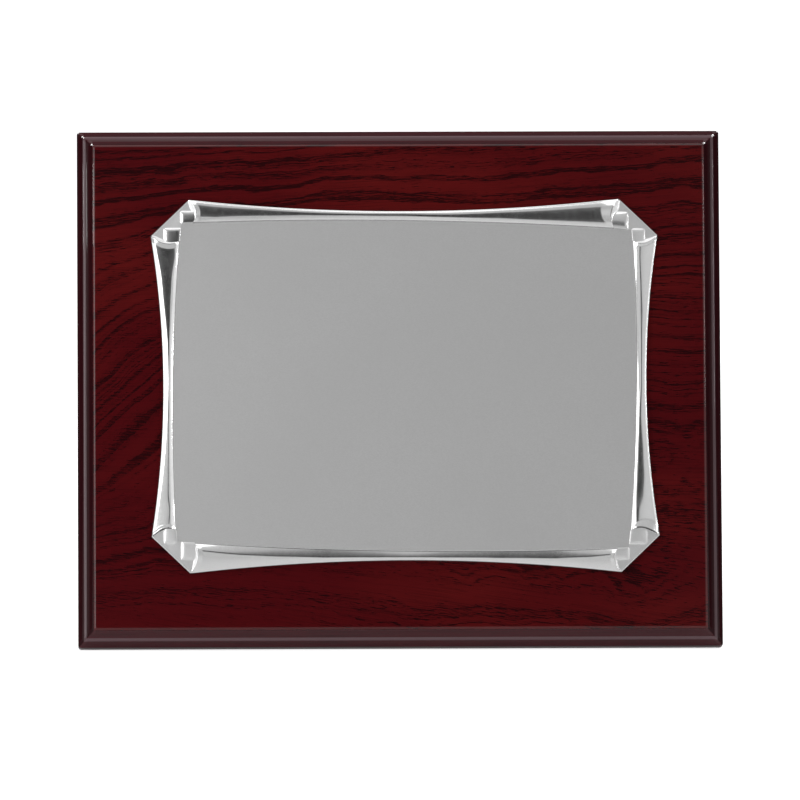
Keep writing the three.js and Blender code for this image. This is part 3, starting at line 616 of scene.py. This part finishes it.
def plate_sides():
    sides = []
    c, s = math.cos(FIELD_TURN), math.sin(FIELD_TURN)
    for k, (p, q, tip, out, A, B) in enumerate((
        ((1, 0), (0, 1), TIP_P, PLATE_H / 2, FIELD_W / 2, FIELD_H / 2),
        ((0, -1), (1, 0), TIP_Q, PLATE_W / 2, FIELD_H / 2, FIELD_W / 2),
        ((-1, 0), (0, -1), TIP_P, PLATE_H / 2, FIELD_W / 2, FIELD_H / 2),
        ((0, 1), (-1, 0), TIP_Q, PLATE_W / 2, FIELD_H / 2, FIELD_W / 2),
    )):
        sides.append({
            "k": k, "p": np.array(p, float), "q": np.array(q, float), "tip": tip, "out": out,
            "start": np.array([-A * c + B * s, A * s + B * c]),
            "end": np.array([A * c + B * s, -A * s + B * c]),
        })
    return sides


def section(s, t):
    outer = np.array([s["tip"] * t, s["out"] - SAG * (1 - t * t)])
    length = np.linalg.norm(s["end"] - s["start"])
    k0, k1 = END_NARROW / length, 1 - END_WIDE / length
    k = k0 + (t + 1) / 2 * (k1 - k0)
    inner = s["start"] + (s["end"] - s["start"]) * k
    inner[1] += FIELD_BOW * (1 - (2 * k - 1) ** 2)
    return outer, inner


def raw_height(roll, t, e, w):
    """Height above the veneer, e in from the outer edge, before the creases are eased."""
    foot = w - LIP
    edge, rise = along(roll["edge"], t), math.tan(along(roll["rise"], t) * DEG)
    strip = min(along(roll["strip"], t), foot - 1.3)
    face = max(strip, min(along(roll["face"], t), foot - 1.2))
    crown = max(face, min(along(roll["crown"], t), foot - 1.1))
    soft = strip - 0.5 * (strip - WALL)
    z0 = edge + (soft - WALL) * rise
    z1 = z0 + (strip - soft) * rise * 0.55
    z2 = z1 + (face - strip) * math.tan(along(roll["tilt"], t) * DEG)
    if e <= soft:
        return edge + (e - WALL) * rise
    if e <= strip:
        return z0 + (e - soft) * rise * 0.55
    if e <= face:
        k = (e - strip) / max(1e-6, face - strip)
        return z1 + (z2 - z1) * k + 0.04 * (face - strip) * k * (1 - k)
    if e <= crown:
        k = (e - face) / max(1e-6, crown - face)
        return z2 + 0.06 * (crown - face) * k * (1 - k)
    dip = FIELD_Z - 0.07
    if e <= foot:
        k = (e - crown) / (foot - crown)
        return z2 + (dip - z2) * (0.5 * k + 0.5 * k * k)
    return dip + (FIELD_Z - dip) * smoothstep((e - foot) / LIP)


def roll_height(s, t, e, w):
    roll, d = ROLLS[s["k"]], 0.14
    if e < WALL:
        u = 1 - e / WALL
        return RIM_Z + (along(roll["edge"], t) - RIM_Z) * math.sqrt(max(0.0, 1 - u ** 2.4))
    lo, mid, hi = (raw_height(roll, t, min(w, max(WALL, v)), w) for v in (e - d, e, e + d))
    return 0.3 * lo + 0.4 * mid + 0.3 * hi


def rim_height(s, t, e, w, gap, reach):
    """The flared lip that ends a roll; gap is the distance from its end."""
    across = min(1.0, e / WALL) * (0.5 + 0.5 * smoothstep((e - WALL) / 3.0)) * smoothstep((w - 0.6 - e) / 1.6)
    reach = reach * (1.2 - 1.1 * (e / w) ** 2) if reach > 2.5 else reach
    return across * (0.17 + 0.14 * reach) * max(0.0, 1 - max(0.0, gap - 0.3) / reach)


# The inner coil that shows past each roll end, for the corners from top right
# clockwise: past the wide end, then past the next roll's narrow start.
# (length, width, height, squareness, lean along, lean across, satin)
COILS = [
    ((5.4, 6.6, 0.85, 2.0, 0.06, 0.20, False), (4.7, 4.9, 0.45, 3.0, 0.05, 0.10, True)),
    ((5.4, 6.6, 0.50, 2.1, 0.05, 0.05, True), (4.4, 4.6, 0.45, 3.0, 0.05, 0.10, True)),
    ((5.2, 6.6, 0.60, 2.8, 0.05, 0.10, True), (5.0, 4.9, 0.40, 3.0, 0.05, 0.05, True)),
    ((5.0, 6.2, 0.62, 3.2, 0.0, 0.0, False), (4.6, 4.8, 0.60, 3.2, 0.0, 0.0, False)),
]


def coil_height(at, rim_a, direction, b0, coil):
    length, width, height, square, lean_a, lean_b, _ = coil
    past = (at[0] - rim_a) * direction
    c = 2 * (at[1] - b0 + 0.5) / (width + 0.5) - 1
    if abs(c) >= 1 or past < -3 or past >= length:
        return 0.0
    end = max(0.0, past - (length - 1.5)) / 1.5
    cap = (1 - end ** 2.2) ** (1 / 2.2)
    body = (1 - abs(c) ** square) ** (1 / square)
    return max(0.0, (height - lean_a * (past - length / 2) - lean_b * c) * min(1.0, body) * cap)


def fine_steps(lo, hi, step, first, growth=1.35):
    """Positions from lo to hi, fine at both ends."""
    left, d = [lo], first
    while d < step and left[-1] + d < (lo + hi) / 2:
        left.append(left[-1] + d)
        d *= growth
    right = [lo + hi - v for v in reversed(left)]
    n = max(1, round((right[0] - left[-1]) / step))
    middle = [left[-1] + (right[0] - left[-1]) * i / n for i in range(1, n)]
    return left + middle + right


EDGE_RINGS = (0.0, 0.04, 0.1, 0.18, 0.28, 0.39)
LIP_RINGS = (0.95, 0.82, 0.7, 0.6, 0.5, 0.42, 0.34, 0.25, 0.16, 0.08, 0.0)
MIDDLE = 34


def ring_distances(w):
    """Distances in from the outer edge, the same count for every width."""
    lo, hi = 0.52, w - 1.1
    return list(EDGE_RINGS) + [lo + (hi - lo) * i / MIDDLE for i in range(MIDDLE + 1)] + [w - v for v in LIP_RINGS]


def plate_columns():
    """Columns of (p, q, z, material) from the outline to the field, going clockwise."""
    sides = plate_sides()
    columns = []
    for i, s in enumerate(sides):
        nxt = sides[(i + 1) % 4]
        length = 2 * s["tip"]
        flare = ROLLS[s["k"]]["flare"]
        for pos in fine_steps(0, length, 1.7, 0.14, 1.12):
            t = 2 * pos / length - 1
            outer, inner = section(s, t)
            from_start, from_end = pos, length - pos
            near = max(math.exp(-(from_start / 8.0) ** 2), math.exp(-(from_end / 8.0) ** 2))
            w = float(np.linalg.norm(outer - inner))
            direction = 1 if t < 0 else -1
            col = []
            for e in ring_distances(w):
                k = e / w
                at = outer + (inner - outer) * k
                at[0] += direction * END_ARC * near * 4 * k * (1 - k)
                z = roll_height(s, t, e, w)
                z += rim_height(s, t, e, w, from_start, flare[0]) + rim_height(s, t, e, w, from_end, flare[1])
                world = at[0] * s["p"] + at[1] * s["q"]
                col.append((world[0], world[1], z, 0))
            columns.append(col)
        # The corner past this roll's wide end and before the next one's start.
        o0, i0 = section(s, 1.0)
        o1, i1 = section(nxt, -1.0)
        to_world = lambda side, v: v[0] * side["p"] + v[1] * side["q"]
        o0w, i0w, o1w, i1w = to_world(s, o0), to_world(s, i0), to_world(nxt, o1), to_world(nxt, i1)
        cw = to_world(s, s["end"])
        leg_a, leg_b = np.linalg.norm(cw - i0w), np.linalg.norm(cw - i1w)
        chamfer = np.linalg.norm(o1w - o0w)
        w0, w1 = float(np.linalg.norm(o0 - i0)), float(np.linalg.norm(o1 - i1))
        for pos in fine_steps(0, chamfer, 0.26, 0.12, 1.12)[1:-1]:
            share = pos / chamfer
            dist = share * (leg_a + leg_b)
            ow = o0w + (o1w - o0w) * share
            nw = i0w + (cw - i0w) * dist / leg_a if dist <= leg_a else cw + (i1w - cw) * (dist - leg_a) / leg_b
            first = share < leg_a / (leg_a + leg_b)
            side = s if first else nxt
            past = pos if first else chamfer - pos
            bend = math.exp(-(past / 4.5) ** 2) * (-1 if first else 1) * END_ARC
            wide = float(np.linalg.norm(ow - nw))
            w_end, t_end = (w0, 1.0) if first else (w1, -1.0)
            reach = ROLLS[side["k"]]["flare"][1 if first else 0]
            mouth = ROLLS[side["k"]]["mouth"][1 if first else 0]
            col = []
            for e, e_end in zip(ring_distances(wide), ring_distances(w_end)):
                k = e / wide
                world = ow + (nw - ow) * k
                world = world + side["p"] * bend * 4 * k * (1 - k)
                at = np.array([world @ side["p"], world @ side["q"]])
                u = 1 - min(1.0, e / WALL)
                flat = RIM_Z + (FIELD_Z - 0.3 - RIM_Z) * math.sqrt(max(0.0, 1 - u ** 2.4))
                flat += 0.3 * smoothstep(k)
                roll = roll_height(side, t_end, e_end, w_end) + rim_height(side, t_end, e_end, w_end, 0.0, reach)
                shape = COILS[s["k"]][0 if first else 1]
                coil = coil_height(at, (i0 if first else i1)[0], 1 if first else -1, (i0 if first else i1)[1], shape)
                coil *= smoothstep((1 - k) / 0.03)
                z = flat + coil
                wall = roll - mouth * past
                on_wall = wall > z
                z = max(z, wall)
                if k >= 1.0:
                    z = FIELD_Z
                look = 2 if e > 0.35 and ((e < 1.5 or mouth < 2) if on_wall else coil < 0.04 or shape[6]) else 0
                # Steep walls in the deeper mouths take the dark mouth finish (look 3): painted shade for the shadowed
                # open end of the roll.
                if on_wall and mouth > 2 and 0.5 < e < wide - 0.5 and past > 0.1:
                    look = 3
                col.append((world[0], world[1], z, look))
            columns.append(col)
    return columns


def scroll_plate():
    columns = plate_columns()
    n, m = len(columns), len(columns[0])
    verts = []
    for drop in (0.0, SHEET_T):
        for c in columns:
            for p, q, z, _ in c:
                verts.append((PLATE_X + p, -BOARD_T - (z - drop), PLATE_Z + q))
    half = n * m
    faces, index = [], []
    for c in range(n):
        d = (c + 1) % n
        for r in range(m - 1):
            looks = [columns[c][r][3], columns[d][r][3], columns[c][r + 1][3], columns[d][r + 1][3]]
            look = 3 if looks.count(3) >= 2 else 2 if min(looks) == 2 else 0
            faces.append((c * m + r, c * m + r + 1, d * m + r + 1, d * m + r))
            faces.append((half + c * m + r, half + d * m + r, half + d * m + r + 1, half + c * m + r + 1))
            index += [look, 0]
        faces.append((c * m, d * m, half + d * m, half + c * m))
        index.append(0)
    # The flat field inside the border, front and back.
    faces.append(tuple(c * m + m - 1 for c in range(n)))
    faces.append(tuple(half + c * m + m - 1 for c in reversed(range(n))))
    index += [1, 0]
    ob = mesh_object("engraving_plate", verts, faces, BOARD, 60)
    ob.data.polygons.foreach_set("material_index", index)
    ob.data.polygons[len(faces) - 2].use_smooth = False
    ob.data.polygons[len(faces) - 1].use_smooth = False
    bm = bmesh.new()
    bm.from_mesh(ob.data)
    bmesh.ops.recalc_face_normals(bm, faces=bm.faces)
    bm.to_mesh(ob.data)
    bm.free()
    return ob


plate = scroll_plate()
dress(plate, [MAT["polished"], MAT["satin"], MAT["corner"], MAT["mouth"]], "board", "plate_metal", "scroll_plate")

for name in ("tape_strip_top", "tape_strip_bottom", "tape_strip_left", "tape_strip_right"):
    o = frame["nodes"][name]
    o.data.materials.clear()
    o.data.materials.append(MAT["foam"])

# ----------------------------------------------------------------- hardware
PLATE_Y = 0.6 + 0.03 + 0.1
LEAF_T = 0.9
KNUCKLE_MID = (2.2 + 1.28) / 2


def pan_screw(name, x, y, z, turn, replaced):
    """Head up local y, shank down."""
    at = BOARD @ Matrix.Translation(Vector((x * MM, y * MM, z * MM)))
    head_r, head_h, shank = 2.8, 1.7, 1.4
    profile = [(0, head_h)]
    for i in range(1, 9):
        a = i / 8 * 80 * DEG
        profile.append((head_r * 0.98 * math.sin(a), head_h * (0.25 + 0.75 * math.cos(a))))
    profile += [(head_r, head_h * 0.22), (head_r, 0.12), (head_r - 0.12, 0.0), (shank, 0.0),
                (shank, -9.0), (shank * 0.55, -11.0), (0, -12.0)]
    ob = lathe(name, profile, at, 48, 40)
    cross = []
    w, l = 0.36, 1.5
    for px, pz in ((w, w), (l, w), (l, -w), (w, -w), (w, -l), (-w, -l), (-w, -w), (-l, -w), (-l, w), (-w, w), (-w, l), (w, l)):
        cross.append((px, pz))
    cross = list(reversed(cross))
    loops = [
        [(a * f, h, b * f) for a, b in cross]
        for h, f in ((head_h + 0.6, 1.25), (head_h * 0.3, 0.55))
    ]
    spin = Matrix.Rotation(turn * DEG, 4, "Y")
    cutter = loft(name + "_cutter", loops, at @ spin, 35)
    cut(ob, cutter)
    dress(ob, MAT["steel"], "board", "screw_steel", replaced)


pan_screw("leaf_screw_left", -10, PLATE_Y + LEAF_T + 0.03, 145.5, 17, "hinge_screw_left")
pan_screw("leaf_screw_right", 10, PLATE_Y + LEAF_T + 0.03, 145.5, -31, "hinge_screw_right")
STRAP_EYE, STRAP_T = 1.12, 0.6
STRAP_Y = 0.6 + 0.03 + 0.05 + STRAP_EYE + STRAP_T
RING_Z = 175.0
pan_screw("strap_screw", 0, STRAP_Y - STRAP_EYE + STRAP_T + 0.06, RING_Z - 7, 40, "hanger_screw")

# Upper leaf: a flat plate whose two ends curl round the pin.
flat_y = PLATE_Y + LEAF_T / 2
upper = [(flat_y, 152 - v) for v in (0, 0.25, 0.6, 1.1, 1.7, 2.3, 3.0, 8.0, 14.0, 16.6)]
for i in range(1, 9):
    k = i / 8
    upper.append((flat_y + (PIN_Y - KNUCKLE_MID - flat_y) * smoothstep(k), 135.4 - 4.4 * k))
upper += arc(PIN_Y, PIN_Z, KNUCKLE_MID, 180, 478, 34)[1:]
plate_end = 9


def upper_width(c, k):
    x = (-15.0, -7.45, 7.45, 15.0)[c]
    d = 152 - upper[k][1]
    if c in (0, 3) and k < plate_end and d < 3:
        x -= math.copysign(3 - math.sqrt(max(0.0, 9 - (3 - d) ** 2)), x)
    return x


leaf = sheet_metal("hinge_leaf_fixed", upper, LEAF_T, (-15, -7.45, 7.45, 15), BOARD,
                   skip=lambda c, k: c == 1 and k >= plate_end, width_at=upper_width)
dress(leaf, MAT["nickel"], "board", "nickel_hardware", "hinge_upper_leaf")

head = 15.5
rod = lathe(
    "hinge_pin_rod",
    [(0, -head - 0.6), (0.9, -head - 0.58), (1.3, -head - 0.48), (1.55, -head - 0.25), (1.6, -head), (1.6, -head + 0.36), (1.5, -head + 0.42),
     (1.2, -head + 0.42), (1.2, head - 0.42), (1.5, head - 0.42), (1.6, head - 0.36), (1.6, head), (1.55, head + 0.25), (1.3, head + 0.48), (0.9, head + 0.58), (0, head + 0.6)],
    Matrix.Translation(pin) @ tilt @ Matrix.Rotation(-90 * DEG, 4, "Z"), 40, 40)
dress(rod, MAT["nickel"], "board", "nickel_hardware", "hinge_pin")

# Lower leaf, in strut axes: plate, middle knuckle and stop tab.
low_y = -2.2 + LEAF_T / 2
lower = [(low_y, -28 + v) for v in (0, 0.5, 1.0, 2.0, 12.0, 23.8, 25.0, 26.5)]
lower += arc(0, 0, KNUCKLE_MID, 180, -118, 34)


def lower_width(c, k):
    x = (-13.0, -7.2, 7.2, 13.0)[c]
    d = lower[k][1] + 28
    if c in (0, 3) and d < 2 and k < 8:
        x -= math.copysign(2 - d, x)
    return x


leaf2 = sheet_metal("hinge_leaf_moving", lower, LEAF_T, (-13, -7.2, 7.2, 13), STRUT,
                    skip=lambda c, k: c != 1 and k >= 5, width_at=lower_width)
tab_y = PLATE_Y + LEAF_T + 0.06 - PIN_Y + LEAF_T / 2
turn = Matrix.Rotation(-OPEN, 4, "X")
tab_path = [(tab_y + 0.55, 0.6), (tab_y + 0.2, 1.4), (tab_y, 2.4), (tab_y, 4.0), (tab_y, 6.0), (tab_y, 7.6)]
tab_path = [tuple((turn @ Vector((0, y, z)))[1:3]) for y, z in tab_path]
tab = sheet_metal("hinge_tab", tab_path, LEAF_T, (-6.7, 6.7), STRUT)
dress(tab, MAT["nickel"], "strut", "nickel_hardware", "hinge_lower_leaf")
dress(leaf2, MAT["nickel"], "strut", "nickel_hardware", "hinge_lower_leaf")

# -------------------------------------------------------------------- strut
VEL0 = -2.2 + LEAF_T + 0.03
CORE0 = VEL0 + 0.5 + 0.03
OUT0 = CORE0 + 3.0 + 0.03


def strut_slab(name, y0, y1, edge, lift, soft, angle):
    """The strut's outline between two depths, its foot lying on the floor."""
    top, foot_nominal = -3.6 - edge, -153.6
    w_top, w_foot, r = 18.0 - edge, 36.0 - edge, 4.0

    def half_width(z):
        k = (z - foot_nominal) / (top - r - foot_nominal)
        return w_foot + (w_top - w_foot) * min(1.0, k)

    def outline(y, inset):
        zf = (lift * MM - STRUT[2][3] - STRUT[2][1] * y * MM) / STRUT[2][2] / MM + inset
        pts = [(-half_width(zf) + inset, zf), (half_width(zf) - inset, zf)]
        for i in range(9):
            a = i / 8 * 90 * DEG
            pts.append((w_top - r + (r - inset) * math.cos(a), top - r + (r - inset) * math.sin(a)))
        for i in range(9):
            a = (90 + i / 8 * 90) * DEG
            pts.append((-w_top + r + (r - inset) * math.cos(a), top - r + (r - inset) * math.sin(a)))
        return [(x, y, z) for x, z in pts]

    steps = [(0, soft), (0.3 * soft, 0.3 * soft), (soft, 0)]
    loops = [outline(y0 + d, i) for d, i in steps] + [outline(y1 - d, i) for d, i in reversed(steps)]
    return loft(name, loops, STRUT, angle)


core = strut_slab("strut_board", CORE0, CORE0 + 3.0, 0, 0, 0.25, 40)
dress(core, MAT["hardboard"], "strut", "strut_board", "strut_core")
inner = strut_slab("strut_lining_front", VEL0, VEL0 + 0.5, 0.5, 0.25, 0.2, 60)
dress(inner, MAT["velvet"], "strut", "black_velvet", "strut_velvet_inner")
outer = strut_slab("strut_lining_back", OUT0, OUT0 + 0.5, 0.5, 0.25, 0.2, 60)
dress(outer, MAT["velvet"], "strut", "black_velvet", "strut_velvet_outer")

rivet_top = OUT0 + 0.5 + 0.03
for name, x, node in (("rivet_left", -7, "strut_rivet_left"), ("rivet_right", 7, "strut_rivet_right")):
    profile = [(0, -2.7), (1.6, -2.7), (2.2, -2.62), (2.5, -2.48), (2.6, -2.3), (2.55, -2.23), (1.55, -2.23), (1.55, rivet_top),
               (2.95, rivet_top), (3.0, rivet_top + 0.1)]
    profile += [(3.0 * math.cos(a * DEG), rivet_top + 0.1 + 1.05 * math.sin(a * DEG)) for a in (15, 30, 45, 60, 75)]
    profile += [(0, rivet_top + 1.15)]
    o = lathe(name, profile, STRUT @ Matrix.Translation(Vector((x * MM, 0, -19 * MM))), 40, 40)
    dress(o, MAT["nickel"], "strut", "nickel_hardware", node)

# ------------------------------------------------------------------- hanger
mid = STRAP_EYE + STRAP_T / 2
strap_path = [(-mid, -11 + v) for v in (0, 0.4, 1.0, 2.0, 5.0, 8.0, 9.5, 10.3)]
strap_path += arc(0, 0, mid, 180, -28, 26)
y_end, z_end = strap_path[-1]
out_y = -mid + STRAP_T + 0.01
for i in range(1, 9):
    k = i / 8
    strap_path.append((y_end + (out_y - y_end) * smoothstep(k) ** 0.9, z_end + (-4.6 - z_end) * k))
strap_path += [(out_y, -5.5), (out_y, -8.0), (out_y, -10.0), (out_y, -10.6), (out_y, -11.0)]
SHIFT = BOARD @ Matrix.Translation(Vector((0, STRAP_Y * MM, RING_Z * MM)))
strap = sheet_metal("hanger_clip", strap_path, STRAP_T - 0.02, (-4, 4), SHIFT, bevel=0.1)
dress(strap, MAT["nickel"], "board", "nickel_hardware", "hanger_strap")

RING_R, RING_LEG, WIRE = 11.0, 9.0, 1.0
path = []
for i in range(12):
    path.append((-8.8 + 17.6 * i / 11, 0.0))
path = [(x, z) for x, z in path]
for i in range(1, 9):
    a = i / 8 * 90 * DEG
    path.append((8.8 + 2.2 * math.sin(a), -2.2 + 2.2 * math.cos(a)))
for i in range(1, 6):
    path.append((11.0, -2.2 - 6.8 * i / 6))
for i in range(49):
    a = i / 48 * math.pi
    path.append((RING_R * math.cos(a), -RING_LEG - RING_R * math.sin(a)))
for i in range(1, 6):
    path.append((-11.0, -9.0 + 6.8 * i / 6))
for i in range(8):
    a = i / 8 * 90 * DEG
    path.append((-8.8 - 2.2 * math.cos(a), -2.2 + 2.2 * math.sin(a)))
verts, faces, sides_n = [], [], 20
for i, (x, z) in enumerate(path):
    (xa, za), (xb, zb) = path[i - 1], path[(i + 1) % len(path)]
    d = Vector((xb - xa, 0, zb - za)).normalized()
    side = Vector((0, 1, 0)).cross(d)
    for k in range(sides_n):
        a = 2 * math.pi * k / sides_n
        v = Vector((x, 0, z)) + WIRE * (math.cos(a) * side + math.sin(a) * Vector((0, 1, 0)))
        verts.append(tuple(v))
for i in range(len(path)):
    j = (i + 1) % len(path)
    for k in range(sides_n):
        l = (k + 1) % sides_n
        faces.append((i * sides_n + k, i * sides_n + l, j * sides_n + l, j * sides_n + k))
loop = outward(mesh_object("hanging_ring", verts, faces, RING, 60))
dress(loop, MAT["nickel"], "ring", "nickel_hardware", "hanger_ring")

foot = 124.2

# -------------------------------------------------------------------- stage
floor_me = bpy.data.meshes.new("floor")
R = 14.0
floor_me.from_pydata([(-R, -R, 0), (R, -R, 0), (R, R, 0), (-R, R, 0)], [], [(0, 1, 2, 3)])
floor = bpy.data.objects.new("floor", floor_me)
bpy.context.scene.collection.objects.link(floor)
floor.location.z = -0.0001
fm = bpy.data.materials.new("pale_floor")
fm.use_nodes = True
nt = fm.node_tree
fb = next(n for n in nt.nodes if n.type == "BSDF_PRINCIPLED")
fb.inputs["Base Color"].default_value = (0.78, 0.78, 0.78, 1)
fb.inputs["Roughness"].default_value = 0.9
fb.inputs["Specular IOR Level"].default_value = 0.1
fb.inputs["Emission Color"].default_value = (1, 1, 1, 1)
fl = nt.nodes.new("ShaderNodeLightPath")
fg = nt.nodes.new("ShaderNodeMath")
fg.operation = "MULTIPLY_ADD"
fg.inputs[1].default_value = 0.75
fg.inputs[2].default_value = 0.13
nt.links.new(fl.outputs["Is Camera Ray"], fg.inputs[0])
nt.links.new(fg.outputs[0], fb.inputs["Emission Strength"])
floor_me.materials.append(fm)

world = bpy.data.worlds.new("studio")
bpy.context.scene.world = world
world.use_nodes = True
wt = world.node_tree
wt.nodes.clear()


def wnode(kind, values=None, **settings):
    n = wt.nodes.new(kind)
    for k, v in settings.items():
        setattr(n, k, v)
    for k, v in (values or {}).items():
        n.inputs[k].default_value = v
    return n


out = wnode("ShaderNodeOutputWorld")
mix = wnode("ShaderNodeMixShader")
lit = wnode("ShaderNodeBackground")
seen = wnode("ShaderNodeBackground", {"Color": (1, 1, 1, 1), "Strength": 1.0})
lp = wnode("ShaderNodeLightPath")
tc = wnode("ShaderNodeTexCoord")
d = tc.outputs["Generated"]
sep = wnode("ShaderNodeSeparateXYZ")
wt.links.new(d, sep.inputs[0])


def wmath(op, *args):
    n = wnode("ShaderNodeMath", operation=op)
    for i, v in enumerate(args):
        if isinstance(v, (int, float)):
            n.inputs[i].default_value = v
        else:
            wt.links.new(v, n.inputs[i])
    return n.outputs[0]


def fade(value, a, b, lo=0.0, hi=1.0):
    n = wnode("ShaderNodeMapRange", {1: a, 2: b, 3: lo, 4: hi}, interpolation_type="SMOOTHSTEP")
    wt.links.new(value, n.inputs[0])
    return n.outputs[0]


def toward(azimuth, elevation):
    """Cosine of the angle from a direction; azimuth 0 is in front, + is right."""
    a, e = azimuth * DEG, elevation * DEG
    n = wnode("ShaderNodeVectorMath", {1: (math.sin(a) * math.cos(e), -math.cos(a) * math.cos(e), math.sin(e))},
              operation="DOT_PRODUCT")
    wt.links.new(d, n.inputs[0])
    return n.outputs["Value"]


def deg(x):
    return math.cos(x * DEG)


# A tent: pale walls in front, darker behind, brighter boxes at the sides and
# above, and a black card round the camera.
room = fade(sep.outputs[1], -0.15, 0.25, 0.62, 0.10)
room = wmath("ADD", room, fade(sep.outputs[2], 0.55, 0.95, 0.0, 0.20))
for azimuth, elevation, inner, outer, gain in (
    (-64, 12, 14, 28, 1.0), (62, 12, 10, 26, 0.5), (0, 66, 3, 8, 0.12), (0, -3, 6, 14, 0.17),
    (25, 17, 5, 9, 0.22), (-23, 18, 5, 9, 0.2),
):
    room = wmath("ADD", room, fade(toward(azimuth, elevation), deg(outer), deg(inner), 0.0, gain))
card = toward(1.3, 19.4)
shade_in = fade(card, deg(17.5), deg(9), 0.0, 1.0)
inner_tone = fade(card, deg(9), deg(2.5), 0.21, 0.035)
m1 = wnode("ShaderNodeMix", data_type="FLOAT")
wt.links.new(shade_in, m1.inputs[0])
wt.links.new(room, m1.inputs[2])
wt.links.new(inner_tone, m1.inputs[3])
wt.links.new(m1.outputs[0], lit.inputs["Strength"])
wt.links.new(lp.outputs["Is Camera Ray"], mix.inputs[0])
wt.links.new(lit.outputs[0], mix.inputs[1])
wt.links.new(seen.outputs[0], mix.inputs[2])
wt.links.new(mix.outputs[0], out.inputs[0])


def area(name, place, target, size, size_y, power):
    light = bpy.data.lights.new(name, "AREA")
    light.shape, light.size, light.size_y, light.energy = "RECTANGLE", size, size_y, power
    ob = bpy.data.objects.new(name, light)
    bpy.context.scene.collection.objects.link(ob)
    ob.location = place
    ob.rotation_mode = "QUATERNION"
    ob.rotation_quaternion = (Vector(target) - Vector(place)).to_track_quat("-Z", "Y")
    return ob


area("softbox_top", (0.0, -0.15, 1.3), (0, 0, 0.1), 1.5, 1.0, 3.8)
def accent(name, place, target, size, size_y, power):
    """A small lamp that only shows as a highlight."""
    ob = area(name, place, target, size, size_y, power)
    ob.visible_diffuse = False
    ob.visible_camera = False
    return ob


accent("tick_left", (-0.98, 0.62, 1.12), (-0.12, 0, 0.19), 0.5, 0.5, 22.0)
accent("tick_right", (0.98, 0.62, 1.12), (0.12, 0, 0.19), 0.5, 0.5, 22.0)
accent("glint_left", (-0.272, -0.030, 0.207), (-0.122, -0.057, 0.188), 0.012, 0.036, 0.05)
accent("glint_right", (0.449, -0.149, 0.230), (0.118, -0.060, 0.165), 0.02, 0.12, 0.14)
area("back_fill", (0.7, 1.4, 0.9), (0, 0, 0.1), 1.0, 0.7, 9.0)
area("softbox_left", (-0.47, -0.5, 0.26), (0, 0, 0.1), 0.22, 0.5, 0.9)

# ------------------------------------------------------------------- camera
AZ, EL, ROLL, DIST, SCALE = -1.256 * DEG, 4.609 * DEG, -0.08 * DEG, 5.0, 2.57
back = Vector((math.sin(AZ) * math.cos(EL), -math.cos(AZ) * math.cos(EL), math.sin(EL)))
right = Vector((math.cos(AZ), math.sin(AZ), 0))
upv = back.cross(right)
R_ = math.cos(ROLL) * right + math.sin(ROLL) * upv
U_ = -math.sin(ROLL) * right + math.cos(ROLL) * upv
focus = Vector((0, 0, 0.1)) + R_ * ((400 - 398.83) / SCALE * MM) - U_ * ((400 - 387.32) / SCALE * MM)
cam = bpy.data.cameras.new("camera")
cam.sensor_width = 36
cam.lens = SCALE * DIST / MM / 800 * 36
cam.clip_start, cam.clip_end = 0.05, 60
cam_ob = bpy.data.objects.new("camera", cam)
bpy.context.scene.collection.objects.link(cam_ob)
m = Matrix.Identity(4)
for i in range(3):
    m[i][0], m[i][1], m[i][2] = R_[i], U_[i], back[i]
m.translation = focus + back * DIST
cam_ob.matrix_world = m
bpy.context.scene.camera = cam_ob
bpy.context.scene.view_settings.view_transform = "Standard"
